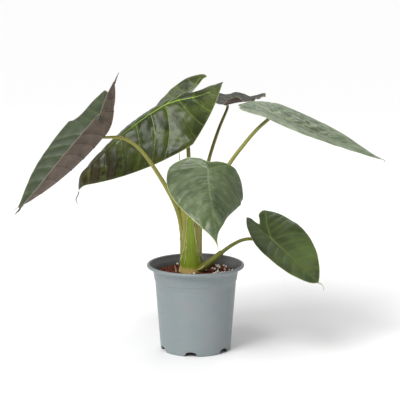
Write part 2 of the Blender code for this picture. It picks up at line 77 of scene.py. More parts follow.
@dataclass
class Mesh:
    """Points, faces and numbers held at each point."""

    points: np.ndarray
    faces: Faces
    layers: dict[str, np.ndarray]

    def joined(self, other: "Mesh") -> "Mesh":
        """This mesh and another as one.

        Args:
            other: a mesh with the same layers.

        Returns:
            One mesh that holds both.
        """
        shift = len(self.points)
        layers = {name: np.concatenate([held, other.layers[name]]) for name, held in self.layers.items()}
        faces = self.faces + [tuple(i + shift for i in face) for face in other.faces]
        return Mesh(np.vstack([self.points, other.points]), faces, layers)

    def as_object(self, name: str, material: bpy.types.Material | None, sharp: float) -> bpy.types.Object:
        """Make an object of the mesh, with outward faces.

        Args:
            name: of the object.
            material: its only material, or None for a helper.
            sharp: edges over this angle in degrees stay sharp.

        Returns:
            The object, at the origin.
        """
        data = self.as_data(name)
        turn_outwards(data)
        data.shade_smooth()
        data.set_sharp_from_angle(angle=math.radians(sharp))
        if material:
            data.materials.append(material)
        return linked(name, data)

    def as_data(self, name: str) -> bpy.types.Mesh:
        """Make plain mesh data that holds the layers."""
        data = bpy.data.meshes.new(name)
        data.from_pydata([tuple(map(float, p)) for p in self.points], [], self.faces)
        hold(data, self.layers)
        return data


def hold(data: bpy.types.Mesh, layers: dict[str, np.ndarray]) -> None:
    """Hold numbers at a mesh's points.

    Args:
        data: the mesh.
        layers: one number for each point, by layer name.
    """
    for layer, held in layers.items():
        data.attributes.new(layer, "FLOAT", "POINT").data.foreach_set("value", held.astype(np.float32))


def linked(name: str, data: bpy.types.ID) -> bpy.types.Object:
    """Put new data into the scene.

    Args:
        name: of the object.
        data: a mesh, curve, light or camera.

    Returns:
        The object that holds it.
    """
    made = bpy.data.objects.new(name, data)
    bpy.context.scene.collection.objects.link(made)
    return made


def turn_outwards(data: bpy.types.Mesh) -> None:
    """Point every face outwards.

    Args:
        data: a mesh of closed shells.
    """
    shape = bmesh.new()
    shape.from_mesh(data)
    bmesh.ops.recalc_face_normals(shape, faces=shape.faces)
    shape.to_mesh(data)
    shape.free()


def step(x: np.ndarray | float, low: float = 0.0, high: float = 1.0) -> np.ndarray:
    """Smooth step from 0 at low to 1 at high.

    Args:
        x: values.
        low: where the step starts.
        high: where it ends.

    Returns:
        The step's height at each value.
    """
    t = np.clip((np.asarray(x, float) - low) / (high - low), 0, 1)
    return t * t * (3 - 2 * t)


def smooth_route(route: tuple | list | np.ndarray, per_span: int) -> np.ndarray:
    """Points of a Catmull-Rom curve through a route.

    Args:
        route: the points to pass through.
        per_span: points made for each span.

    Returns:
        The curve's points.
    """
    knots = np.array(route, float)
    knots = np.vstack([2 * knots[0] - knots[1], knots, 2 * knots[-1] - knots[-2]])
    found = []
    for i in range(1, len(knots) - 2):
        a, b, c, d = knots[i - 1:i + 3]
        for s in np.arange(per_span) / per_span:
            found.append(0.5 * (2 * b + (c - a) * s + (2 * a - 5 * b + 4 * c - d) * s ** 2
                                + (3 * b - a - 3 * c + d) * s ** 3))
    found.append(knots[-2])
    return np.array(found)


def spread(points: np.ndarray, count: int) -> tuple[np.ndarray, np.ndarray]:
    """Points at equal steps of length along a polyline.

    Args:
        points: the polyline.
        count: of points wanted.

    Returns:
        The points, and the length from the start at each.
    """
    run = np.concatenate([[0], np.cumsum(np.linalg.norm(np.diff(points, axis=0), axis=1))])
    wanted = np.linspace(0, run[-1], count)
    return np.stack([np.interp(wanted, run, points[:, k]) for k in range(points.shape[1])], axis=1), wanted


def distances(points: np.ndarray, line: np.ndarray) -> tuple[np.ndarray, np.ndarray]:
    """Distance from flat points to a polyline.

    Args:
        points: flat points.
        line: the polyline.

    Returns:
        The distance of each point, and how far along the line its nearest place is, from 0 to 1.
    """
    a, b = line[:-1], line[1:]
    along = b - a
    square = np.maximum((along ** 2).sum(axis=1), 1e-18)
    best = np.full(len(points), np.inf)
    place = np.zeros(len(points))
    for k in range(len(a)):
        t = np.clip(((points - a[k]) @ along[k]) / square[k], 0, 1)
        d = np.hypot(points[:, 0] - a[k, 0] - t * along[k, 0], points[:, 1] - a[k, 1] - t * along[k, 1])
        near = d < best
        best[near] = d[near]
        place[near] = (k + t[near]) / len(a)
    return best, place


def inside(points: np.ndarray, rim: np.ndarray) -> np.ndarray:
    """Whether flat points are inside a closed outline.

    Args:
        points: flat points.
        rim: the outline's corners in order.

    Returns:
        True for each point inside.
    """
    count = np.zeros(len(points), int)
    for a, b in zip(rim, np.roll(rim, -1, axis=0)):
        spans = (a[1] > points[:, 1]) != (b[1] > points[:, 1])
        rise = b[1] - a[1]
        cross = a[0] + (points[:, 1] - a[1]) / (rise if abs(rise) > 1e-12 else 1e-12) * (b[0] - a[0])
        count += spans & (cross > points[:, 0])
    return count % 2 == 1


def ripple(points: np.ndarray, size: float, seed: float) -> np.ndarray:
    """Soft seeded noise, about -1 to 1, at points in space.

    Args:
        points: the places.
        size: of one ripple.
        seed: shifts the pattern.

    Returns:
        The noise at each place.
    """
    return np.array([noise.noise(Vector(p) / size + Vector((seed, 2 * seed, 3 * seed))) for p in points.tolist()])


def tube_faces(rings: int, sides: int) -> Faces:
    """Side faces and two caps of a lofted tube.

    Args:
        rings: along the tube.
        sides: round it.

    Returns:
        The faces.
    """
    faces: Faces = [tuple(reversed(range(sides))), tuple(range((rings - 1) * sides, rings * sides))]
    for i in range(rings - 1):
        for k in range(sides):
            n = (k + 1) % sides
            faces.append((i * sides + k, i * sides + n, (i + 1) * sides + n, (i + 1) * sides + k))
    return faces


def ring(radius: float, z: float, sides: int) -> list[Point]:
    """Points of a level ring round Z."""
    return [(radius * math.cos(a), radius * math.sin(a), z) for a in np.arange(sides) * math.tau / sides]


def grid_faces(rows: int, columns: int) -> Faces:
    """Faces of an open grid of points held row by row."""
    return [(i * columns + k, i * columns + k + 1, (i + 1) * columns + k + 1, (i + 1) * columns + k)
            for i in range(rows - 1) for k in range(columns - 1)]


def sheet_mesh(upper: np.ndarray, lower: np.ndarray, faces: Faces,
               layers: dict[str, np.ndarray]) -> Mesh:
    """Close two skins that share one face pattern into a thin solid.

    Args:
        upper: points of the upper skin.
        lower: points of the lower skin.
        faces: the pattern.
        layers: numbers of both skins' points, upper first.

    Returns:
        The closed mesh.
    """
    count = len(upper)
    edges = {(a, b) for face in faces for a, b in zip(face, face[1:] + face[:1])}
    walls = [(b, a, a + count, b + count) for a, b in sorted(edges) if (b, a) not in edges]
    skins = faces + [tuple(i + count for i in reversed(face)) for face in faces]
    return Mesh(np.vstack([upper, lower]), skins + walls, layers)


def point_normals(points: np.ndarray, faces: Faces) -> np.ndarray:
    """Unit normals of a surface at its points.

    Args:
        points: of the surface.
        faces: of the surface.

    Returns:
        One normal for each point.
    """
    corners = np.array([face[:3] for face in faces])
    a, b, c = (points[corners[:, k]] for k in range(3))
    across = np.cross(b - a, c - a)
    normals = np.zeros_like(points)
    for k in range(3):
        np.add.at(normals, corners[:, k], across)
    return normals / np.maximum(np.linalg.norm(normals, axis=1), 1e-12)[:, None]


# Node trees


class Graph:
    """Adds nodes to a tree and wires them."""

    def __init__(self, tree: bpy.types.NodeTree) -> None:
        """Write into a tree.

        Args:
            tree: a material's, group's or modifier's tree.
        """
        self.tree = tree

    def node(self, kind: str, inputs: dict | None = None, **settings: object) -> bpy.types.Node:
        """Add a node.

        Args:
            kind: its type name.
            inputs: socket name or index to a value or to the socket that feeds it.
            settings: properties of the node.

        Returns:
            The node.
        """
        made = self.tree.nodes.new(kind)
        for name, value in settings.items():
            setattr(made, name, value)
        for key, value in (inputs or {}).items():
            self.feed(made.inputs[key], value)
        return made

    def out(self, kind: str, inputs: dict | None = None, **settings: object) -> Socket:
        """Add a node and give its first output."""
        return self.node(kind, inputs, **settings).outputs[0]

    def feed(self, socket: Socket, value: object) -> None:
        """Set a socket or wire it.

        Args:
            socket: an input.
            value: a plain value, a colour or another node's output.
        """
        if isinstance(value, Socket):
            self.tree.links.new(value, socket)
        elif socket.type == "RGBA" and len(value) == 3:
            socket.default_value = (*value, 1.0)
        else:
            socket.default_value = value

    def math(self, operation: str, a: object, b: object = 0.0) -> Socket:
        """The result of a Math node on two values."""
        return self.out("ShaderNodeMath", {0: a, 1: b}, operation=operation)

    def times(self, a: object, b: object) -> Socket:
        """One value times another."""
        return self.math("MULTIPLY", a, b)

    def plus(self, a: object, b: object) -> Socket:
        """One value plus another."""
        return self.math("ADD", a, b)

    def minus(self, a: object, b: object) -> Socket:
        """One value less another."""
        return self.math("SUBTRACT", a, b)


class Shading(Graph):
    """A graph of shader nodes."""

    def value(self, layer: str) -> Socket:
        """Numbers held at the mesh's points."""
        return self.node("ShaderNodeAttribute", attribute_name=layer).outputs["Fac"]

    def place(self) -> Socket:
        """The point's place on the piece."""
        return self.node("ShaderNodeTexCoord").outputs["Object"]

    def mix(self, share: object, a: object, b: object) -> Socket:
        """Colour a, with a share of colour b."""
        return self.node("ShaderNodeMix", {0: share, 6: a, 7: b}, data_type="RGBA").outputs[2]

    def noise(self, scale: object, detail: float = 3.0, vector: object | None = None,
              rough: float = 0.5, bend: float = 0.0) -> Socket:
        """Noise from 0 to 1.

        Args:
            scale: ripples in a metre, or in a unit of the vector.
            detail: octaves.
            vector: the place, or the piece's own place when left out.
            rough: share of the finer octaves.
            bend: distortion.

        Returns:
            The noise.
        """
        made = self.node("ShaderNodeTexNoise", {"Vector": vector or self.place(), "Scale": scale, "Detail": detail,
                                                "Roughness": rough, "Distortion": bend})
        return made.outputs["Fac"]

    def fit(self, value: object, low: object, high: object, out_low: float = 0.0,
            out_high: float = 1.0) -> Socket:
        """Smooth step of a value.

        Args:
            value: what is fitted.
            low: value at which the step starts.
            high: value at which it ends.
            out_low: result at low.
            out_high: result at high.

        Returns:
            The fitted value.
        """
        made = self.node("ShaderNodeMapRange", {"Value": value, "From Min": low, "From Max": high,
                                                "To Min": out_low, "To Max": out_high},
                         interpolation_type="SMOOTHSTEP")
        return made.outputs["Result"]

    def stretched(self, a: object, a_scale: float, b: object, b_scale: float, detail: float = 3.0,
                  rough: float = 0.6, bend: float = 0.0) -> Socket:
        """Noise from 0 to 1 over two values, each with its own scale.

        Args:
            a: first value.
            a_scale: ripples in a unit of it.
            b: second value.
            b_scale: ripples in a unit of it.
            detail: octaves.
            rough: share of the finer octaves.
            bend: distortion.

        Returns:
            The noise.
        """
        vector = self.out("ShaderNodeCombineXYZ", {0: self.times(a, a_scale), 1: self.times(b, b_scale)})
        return self.noise(1.0, detail, vector, rough, bend)

    def use(self, group: bpy.types.NodeTree, **inputs: object) -> bpy.types.Node:
        """Place a group.

        Args:
            group: the shared effect.
            inputs: its values, with underscores for spaces.

        Returns:
            The group node.
        """
        made = self.tree.nodes.new("ShaderNodeGroup")
        made.node_tree = group
        for name, value in inputs.items():
            self.feed(made.inputs[name.replace("_", " ")], value)
        return made


def new_group(kind: str, name: str, inputs: dict[str, tuple], outputs: dict[str, str]) -> bpy.types.NodeTree:
    """Start a node group.

    Args:
        kind: the tree's type name.
        name: of the group.
        inputs: socket name to (socket type, default or None).
        outputs: socket name to socket type.

    Returns:
        The tree, without nodes.
    """
    tree = bpy.data.node_groups.new(name, kind)
    for socket, (sort, default) in inputs.items():
        made = tree.interface.new_socket(name=socket, in_out="INPUT", socket_type=f"NodeSocket{sort}")
        if default is not None:
            made.default_value = default
    for socket, sort in outputs.items():
        tree.interface.new_socket(name=socket, in_out="OUTPUT", socket_type=f"NodeSocket{sort}")
    return tree


def veining_group() -> bpy.types.NodeTree:
    """The markings of a blade, read from the numbers on its mesh.

    Returns:
        The group.
    """
    tree = new_group("ShaderNodeTree", "Veining", {"Threads Between Veins": ("Float", 5.0)},
                     {"Ribs": "Float", "Veins": "Float", "Threads": "Float", "Margin": "Float", "Height": "Float"})
    g = Shading(tree)
    given = g.node("NodeGroupInput")
    ribs = g.fit(g.value("rib"), 0.75, 1.35, 1.0, 0.0)
    veins = g.fit(g.value("vein"), 0.6, 1.5, 1.0, 0.0)
    wander = g.times(g.noise(45.0, 2.0), 0.3)
    turns = g.times(g.plus(g.value("lateral"), wander), given.outputs[0])
    wave = g.math("ABSOLUTE", g.math("SINE", g.times(turns, math.pi)))
    threads = g.fit(wave, 0.0, 0.55, 1.0, 0.0)
    margin = g.fit(g.value("edge"), 0.35, 0.95, 1.0, 0.0)
    height = g.minus(g.times(g.noise(900.0, 2.0), 0.35), g.times(threads, 0.25))
    g.node("NodeGroupOutput", {"Ribs": ribs, "Veins": veins, "Threads": threads, "Margin": margin,
                               "Height": height})
    return tree


def mottle_group() -> bpy.types.NodeTree:
    """Soft patches, shared by most finishes.

    Returns:
        The group.
    """
    tree = new_group("ShaderNodeTree", "Mottle", {"Scale": ("Float", 40.0), "Low": ("Float", 0.4),
                                                  "High": ("Float", 0.6)}, {"Mask": "Float"})
    g = Shading(tree)
    given = g.node("NodeGroupInput").outputs
    g.node("NodeGroupOutput", {"Mask": g.fit(g.noise(given["Scale"], 4.0), given["Low"], given["High"])})
    return tree


def dust_and_sheen_group() -> bpy.types.NodeTree:
    """A mask of dust that lies on what faces upwards; where the leaves use it, it paints sheen, lighter where the
    blade faces up.

    Returns:
        The group.
    """
    tree = new_group("ShaderNodeTree", "Dust", {"Amount": ("Float", 0.5), "Scale": ("Float", 60.0)},
                     {"Mask": "Float"})
    g = Shading(tree)
    given = g.node("NodeGroupInput").outputs
    upward = g.node("ShaderNodeSeparateXYZ", {0: g.node("ShaderNodeNewGeometry").outputs["Normal"]}).outputs["Z"]
    grains = g.noise(given["Scale"], 5.0, None, 0.65)
    lying = g.times(g.fit(upward, -0.2, 0.9, 0.25, 1.0), g.fit(grains, 0.3, 0.7, 0.35, 1.0))
    g.node("NodeGroupOutput", {"Mask": g.times(lying, given["Amount"])})
    return tree


class Shared:
    """Node groups that more than one finish uses, built once."""

    veining = veining_group()
    mottle = mottle_group()
    # dust on the pot, and painted sheen on the leaves
    dust = dust_and_sheen_group()


class Skin(Shading):
    """The graph of one material, ending in a Principled shader."""

    def __init__(self, name: str, **constants: object) -> None:
        """Start the material.

        Args:
            name: of the material.
            constants: values set on the shader's own sockets, with underscores for spaces.
        """
        self.material = bpy.data.materials.new(name)
        self.material.use_nodes = True
        super().__init__(self.material.node_tree)
        self.shader = self.tree.nodes["Principled BSDF"]
        for socket, value in constants.items():
            self.feed(self.shader.inputs[socket.replace("_", " ")], value)

    def mottled(self, scale: float, low: float, high: float) -> Socket:
        """Soft patches where noise rises from low to high."""
        return self.use(Shared.mottle, Scale=scale, Low=low, High=high).outputs[0]

    def dust_and_sheen(self, amount: float, scale: float) -> Socket:
        """A mask of dust on what faces upwards, which on the leaves paints sheen."""
        return self.use(Shared.dust, Amount=amount, Scale=scale).outputs[0]

    def dress(self, colour: object, roughness: object, height: Socket | None = None,
              depth: float = 0.0) -> bpy.types.Material:
        """Feed the shader.

        Args:
            colour: of the surface.
            roughness: of the surface.
            height: of the bump, from 0 to about 1, or None for no bump.
            depth: of the bump in metres.

        Returns:
            The material.
        """
        self.feed(self.shader.inputs["Base Color"], colour)
        self.feed(self.shader.inputs["Roughness"], roughness)
        if height:
            bump = self.node("ShaderNodeBump", {"Strength": 1.0, "Distance": depth, "Height": height})
            self.feed(self.shader.inputs["Normal"], bump.outputs["Normal"])
        return self.material


# Finishes


def shaded(colour: Colour, share: float) -> Colour:
    """A colour made lighter or darker."""
    return tuple(share * c for c in colour)


@dataclass(frozen=True)
class LeafFinish:
    """Skin of a leaf blade, above and below."""

    name: str
    deep: Colour = (0.028, 0.060, 0.016)
    fresh: Colour = (0.065, 0.115, 0.030)
    rib: Colour = (0.30, 0.42, 0.10)
    vein: Colour = (0.14, 0.21, 0.055)
    vein_strength: float = 0.5
    # pale layer on the upper side: partly the leaf's waxy coat, partly painted sheen
    bloom_and_sheen: Colour = (0.30, 0.36, 0.27)
    bloom_and_sheen_amount: float = 0.0
    patches: float = 0.0
    # painted quilting shade: share of a lighter green along the veins
    quilt_shade: float = 0.25
    tip_tint: Colour = (0.09, 0.06, 0.03)
    tip_amount: float = 0.0
    below: Colour = (0.125, 0.085, 0.068)
    below_rib: Colour = (0.20, 0.105, 0.10)
    below_vein: Colour = (0.030, 0.012, 0.018)
    margin: Colour = (0.42, 0.44, 0.25)
    roughness: float = 0.36
    coat: float = 0.15
    gloss: float = 0.5
    vein_fade: float = 0.28

    def made(self) -> bpy.types.Material:
        """Build the material.

        Returns:
            The material.
        """
        g = Skin(self.name, Coat_Weight=self.coat, Coat_Roughness=0.28, IOR=1.45, Specular_IOR_Level=self.gloss)
        marks = g.use(Shared.veining, Threads_Between_Veins=6.0).outputs
        below = g.value("below")
        upper, bloom_and_sheen_share = self.upper(g, marks)
        colour = g.mix(below, upper, self.under(g, marks))
        colour = g.mix(g.times(marks["Margin"], 0.8), colour, self.margin)
        rough = g.plus(g.fit(g.noise(120.0, 3.0), 0.3, 0.7, -0.05, 0.06), self.roughness)
        rough = g.plus(g.plus(rough, g.times(bloom_and_sheen_share, 0.35)), g.times(below, 0.16))
        return g.dress(colour, rough, marks["Height"], 0.00018)

    def upper(self, g: Skin, marks: bpy.types.bpy_prop_collection) -> tuple[Socket, Socket]:
        """Colour the upper side: mottle, brown tip, painted quilting shade that is lighter along the veins, a pale
        layer that is partly waxy coat and partly painted sheen with painted streak highlights, dark patches and the
        veins.

        Args:
            g: the material's graph.
            marks: the veining's outputs.

        Returns:
            The colour, and the share of the pale layer, partly waxy coat and partly painted sheen.
        """
        along, across, cell = g.value("along"), g.value("across"), g.value("cell")
        colour = g.mix(g.mottled(24.0, 0.36, 0.66), self.deep, self.fresh)
        colour = g.mix(g.times(g.fit(along, 0.36, 0.76), self.tip_amount), colour, self.tip_tint)
        # painted quilting shade: lighter along the veins, leaving the raised cells between them darker
        colour = g.mix(g.times(g.fit(cell, 0.75, 0.10), self.quilt_shade), colour, shaded(self.fresh, 1.45))
        # painted streak highlights along the laterals, which make the pale layer stronger or weaker
        highlight_streaks = g.stretched(g.value("lateral"), 9.0, across, 60.0, bend=0.4)
        bloom_and_sheen_share = g.times(g.dust_and_sheen(self.bloom_and_sheen_amount, 70.0), g.fit(highlight_streaks, 0.34, 0.66, 0.45, 1.7))
        # pale layer mixed in: partly waxy coat, partly painted sheen
        colour = g.mix(bloom_and_sheen_share, colour, self.bloom_and_sheen)
        streaks = g.stretched(along, 15.0, across, 210.0, bend=1.2)
        middle = g.times(g.fit(g.math("ABSOLUTE", across), 0.042, 0.018), g.fit(along, 0.30, 0.65, 1.0, 0.30))
        patch = g.times(g.fit(streaks, 0.47, 0.55), g.times(g.fit(cell, 0.0, 0.06), middle))
        colour = g.mix(g.times(patch, self.patches), colour, self.deep)
        colour = g.mix(g.times(marks["Threads"], 0.22 * self.vein_strength), colour, self.vein)
        fade = g.fit(along, 0.05, 0.55, 1.0, self.vein_fade)
        colour = g.mix(g.times(g.times(marks["Veins"], self.vein_strength), fade), colour, self.vein)
        return g.mix(g.times(marks["Ribs"], fade), colour, self.rib), bloom_and_sheen_share

    def under(self, g: Skin, marks: bpy.types.bpy_prop_collection) -> Socket:
        """Colour the underside, paler by the ribs and dark on the veins.

        Args:
            g: the material's graph.
            marks: the veining's outputs.

        Returns:
            The colour.
        """
        colour = g.mix(g.mottled(50.0, 0.3, 0.7), self.below, shaded(self.below, 0.72))
        colour = g.mix(g.times(marks["Threads"], 0.25), colour, self.below_vein)
        colour = g.mix(g.fit(g.value("rib"), 1.0, 7.0, 0.55, 0.0), colour, self.below_rib)
        return g.mix(g.times(marks["Veins"], 0.8), colour, self.below_vein)


@dataclass(frozen=True)
class StalkFinish:
    """Skin of a petiole and of its sheath's papery margins."""

    name: str
    foot: Colour = (0.42, 0.30, 0.10)
    low: Colour = (0.20, 0.28, 0.035)
    high: Colour = (0.24, 0.25, 0.055)
    paper: Colour = (0.68, 0.56, 0.34)
    fleck: Colour = (0.07, 0.045, 0.02)

    def made(self) -> bpy.types.Material:
        """Build the material.

        Returns:
            The material.
        """
        g = Skin(self.name, IOR=1.42, Coat_Weight=0.08, Coat_Roughness=0.35)
        along, paper = g.value("along"), g.value("paper")
        strands = g.stretched(g.value("turn"), 46.0, along, 7.0)
        colour = g.mix(g.fit(along, 0.10, 0.75), self.low, self.high)
        colour = g.mix(g.fit(strands, 0.35, 0.72, 0.0, 0.5), colour, shaded(self.low, 1.55))
        colour = g.mix(g.fit(strands, 0.48, 0.25, 0.0, 0.45), colour, shaded(self.high, 0.5))
        ragged = g.plus(g.value("foot"), g.times(g.noise(260.0, 4.0), 0.5))
        colour = g.mix(g.fit(ragged, 0.75, 1.15, 0.0, 0.9), colour, self.foot)
        colour = g.mix(g.times(g.mottled(420.0, 0.62, 0.72), 0.25), colour, self.fleck)
        tear = g.plus(paper, g.times(g.minus(g.noise(330.0, 3.0), 0.5), 0.6))
        colour = g.mix(g.fit(tear, 0.45, 0.80), colour, self.paper)
        return g.dress(colour, g.fit(paper, 0.3, 0.9, 0.42, 0.75), strands, 0.0004)


@dataclass(frozen=True)
class PlasticFinish:
    """Moulded pot plastic with handling marks, splashes of mix and painted shade on the inside of the wall."""

    name: str = "pot_plastic"
    base: Colour = (0.232, 0.268, 0.275)
    cool: Colour = (0.215, 0.260, 0.270)
    warm: Colour = (0.240, 0.263, 0.268)
    # near-black colour painted on the inside of the wall as shade
    inside_shade: Colour = (0.045, 0.047, 0.046)
    dirt: Colour = (0.10, 0.055, 0.035)
    scuff: Colour = (0.46, 0.49, 0.49)
    dust: Colour = (0.42, 0.38, 0.33)
    roughness: float = 0.44

    def made(self) -> bpy.types.Material:
        """Build the material.

        Returns:
            The material.
        """
        g = Skin(self.name, IOR=1.47)
        height = g.node("ShaderNodeSeparateXYZ", {0: g.place()}).outputs["Z"]
        colour = g.mix(g.mottled(38.0, 0.4, 0.62), self.base, self.cool)
        colour = g.mix(g.mottled(26.0, 0.52, 0.7), colour, self.warm)
        inner = g.value("inner")
        # painted shade on the inside of the wall
        colour = g.mix(g.times(inner, 0.72), colour, self.inside_shade)
        splash = g.times(g.mottled(480.0, 0.60, 0.66), g.times(inner, g.fit(height, 0.122, 0.112, 0.0, 0.9)))
        colour = g.mix(splash, colour, self.dirt)
        scuffs = g.stretched(g.value("turn"), 60.0, height, 900.0, 4.0, 0.7)
        scuff = g.times(g.fit(scuffs, 0.60, 0.72), g.value("wear"))
        colour = g.mix(g.times(scuff, 0.5), colour, self.scuff)
        colour = g.mix(g.dust_and_sheen(0.16, 240.0), colour, self.dust)
        rough = g.fit(g.noise(180.0, 4.0), 0.3, 0.7, self.roughness - 0.06, self.roughness + 0.07)
        grain = g.plus(g.noise(2600.0, 2.0), g.times(g.noise(300.0, 2.0), 0.8))
        return g.dress(colour, g.plus(rough, g.times(scuff, 0.2)), grain, 0.00006)


@dataclass(frozen=True)
class CoirFinish:
    """Coarse red-brown coir and peat."""

    name: str = "potting_mix"
    dark: Colour = (0.036, 0.009, 0.004)
    brown: Colour = (0.190, 0.047, 0.019)
    fibre: Colour = (0.27, 0.12, 0.055)

    def made(self) -> bpy.types.Material:
        """Build the material.

        Returns:
            The material.
        """
        g = Skin(self.name, Specular_IOR_Level=0.25)
        tint = g.value("tint")
        brown = g.fit(g.plus(g.times(tint, 0.8), g.times(g.noise(700.0, 3.0), 0.4)), 0.25, 0.75)
        colour = g.mix(g.fit(tint, 0.86, 0.96), g.mix(brown, self.dark, self.brown), self.fibre)
        rough = g.fit(g.noise(500.0, 2.0), 0.3, 0.7, 0.72, 0.95)
        return g.dress(colour, rough, g.noise(1500.0, 4.0, None, 0.7), 0.0006)


@dataclass(frozen=True)
class CrumblyFinish:
    """Dry matter with one colour running into another: perlite, dead sheath or corm skin."""

    name: str
    pale: Colour
    dark: Colour
    scale: float
    depth: float
    stretch: float = 1.0

    def made(self) -> bpy.types.Material:
        """Build the material.

        Returns:
            The material.
        """
        g = Skin(self.name, Specular_IOR_Level=0.3)
        squash = g.node("ShaderNodeMapping", {"Vector": g.place(), "Scale": (1.0, 1.0, 1.0 / self.stretch)})
        grain = g.noise(self.scale, 4.0, squash.outputs[0], 0.65)
        colour = g.mix(g.fit(grain, 0.36, 0.66), self.dark, self.pale)
        return g.dress(colour, g.fit(grain, 0.3, 0.7, 0.92, 0.7), grain, self.depth)


@dataclass(frozen=True)
class FloorFinish:
    """Plain pale studio floor."""

    name: str = "studio_floor"
    pale: Colour = (0.90, 0.90, 0.90)
    roughness: float = 0.8

    def made(self) -> bpy.types.Material:
        """Build the material."""
        return Skin(self.name, Specular_IOR_Level=0.2).dress(self.pale, self.roughness)


# Geometry node trees


class Tree(Graph):
    """A Geometry Nodes tree with named inputs, run on an object and then made plain."""

    def __init__(self, name: str, inputs: dict[str, tuple]) -> None:
        """Start the tree.

        Args:
            name: of the tree.
            inputs: socket name to (socket type, default or None), the geometry left out.
        """
        made = new_group("GeometryNodeTree", name, {"Geometry": ("Geometry", None), **inputs},
                         {"Geometry": "Geometry"})
        super().__init__(made)
        self.given = self.node("NodeGroupInput").outputs

    def close(self, geometry: Socket, material: Socket) -> None:
        """End the tree in Realize Instances and Set Material.

        Args:
            geometry: what the tree has made.
            material: its finish.
        """
        real = self.node("GeometryNodeRealizeInstances", {"Geometry": geometry})
        dressed = self.node("GeometryNodeSetMaterial", {"Geometry": real.outputs[0], "Material": material})
        smooth = self.node("GeometryNodeSetShadeSmooth", {"Geometry": dressed.outputs[0]})
        self.node("NodeGroupOutput", {0: smooth.outputs[0]})

    def run(self, name: str, start: bpy.types.ID, **values: object) -> bpy.types.Object:
        """Run the tree on data and keep its result as a plain mesh.

        Args:
            name: of the new object.
            start: mesh or curve that the tree starts from.
            values: inputs by name, with underscores for spaces.

        Returns:
            A mesh object without modifiers, at the origin.
        """
        holder = linked(name + "_start", start)
        modifier = holder.modifiers.new(self.tree.name, "NODES")
        modifier.node_group = self.tree
        for item in self.tree.interface.items_tree:
            if item.in_out == "INPUT" and item.name.replace(" ", "_") in values:
                modifier[item.identifier] = values[item.name.replace(" ", "_")]
        bpy.context.view_layer.update()
        evaluated = holder.evaluated_get(bpy.context.evaluated_depsgraph_get())
        data = bpy.data.meshes.new_from_object(evaluated)
        bpy.data.objects.remove(holder)
        data.name = name
        turn_outwards(data)
        return linked(name, data)


def turning_tree() -> Tree:
    """A wall turned round Z from a profile, with notches cut out of its foot.

    Returns:
        The tree.
    """
    t = Tree("Turned Wall", {"Sides": ("Int", 144), "Notches": ("Int", 6), "First Notch": ("Float", 0.0),
                             "Notch": ("Object", None), "Material": ("Material", None)})
    profile = t.given["Geometry"]
    rows = t.node("GeometryNodeAttributeDomainSize", {"Geometry": profile}, component="MESH").outputs["Point Count"]
    columns = t.plus(t.given["Sides"], 1.0)
    grid = t.node("GeometryNodeMeshGrid", {"Vertices X": columns, "Vertices Y": rows}).outputs["Mesh"]
    index = t.out("GeometryNodeInputIndex")
    row = t.math("MODULO", index, rows)
    column = t.math("FLOOR", t.math("DIVIDE", t.plus(index, 0.5), rows))
    angle = t.times(t.math("DIVIDE", column, t.given["Sides"]), math.tau)
    place = t.out("GeometryNodeInputPosition")
    sample = t.node("GeometryNodeSampleIndex", {"Geometry": profile, "Value": place, "Index": row},
                    data_type="FLOAT_VECTOR", domain="POINT").outputs[0]
    parts = t.node("ShaderNodeSeparateXYZ", {0: sample}).outputs
    moved = t.node("ShaderNodeCombineXYZ", {0: t.times(parts[0], t.math("COSINE", angle)),
                                            1: t.times(parts[0], t.math("SINE", angle)), 2: parts[2]})
    wall = t.out("GeometryNodeSetPosition", {"Geometry": grid, "Position": moved.outputs[0]})
    wall = t.out("GeometryNodeMergeByDistance", {"Geometry": wall, "Distance": 1e-5})
    circle = t.out("GeometryNodeMeshCircle", {"Vertices": t.given["Notches"], "Radius": 0.01})
    turn = t.plus(t.given["First Notch"],
                  t.math("DIVIDE", t.times(index, math.tau), t.given["Notches"]))
    cutter = t.node("GeometryNodeObjectInfo", {"Object": t.given["Notch"]}).outputs["Geometry"]
    origin = t.out("GeometryNodeSetPosition", {"Geometry": circle, "Position": (0.0, 0.0, 0.0)})
    turned = t.out("ShaderNodeCombineXYZ", {2: turn})
    cutters = t.node("GeometryNodeInstanceOnPoints", {"Points": origin, "Instance": cutter, "Rotation": turned})
    whole = t.out("GeometryNodeRealizeInstances", {"Geometry": cutters.outputs[0]})
    cut = t.node("GeometryNodeMeshBoolean", {0: wall, 1: whole}, operation="DIFFERENCE", solver="EXACT")
    t.close(cut.outputs["Mesh"], t.given["Material"])
    return t


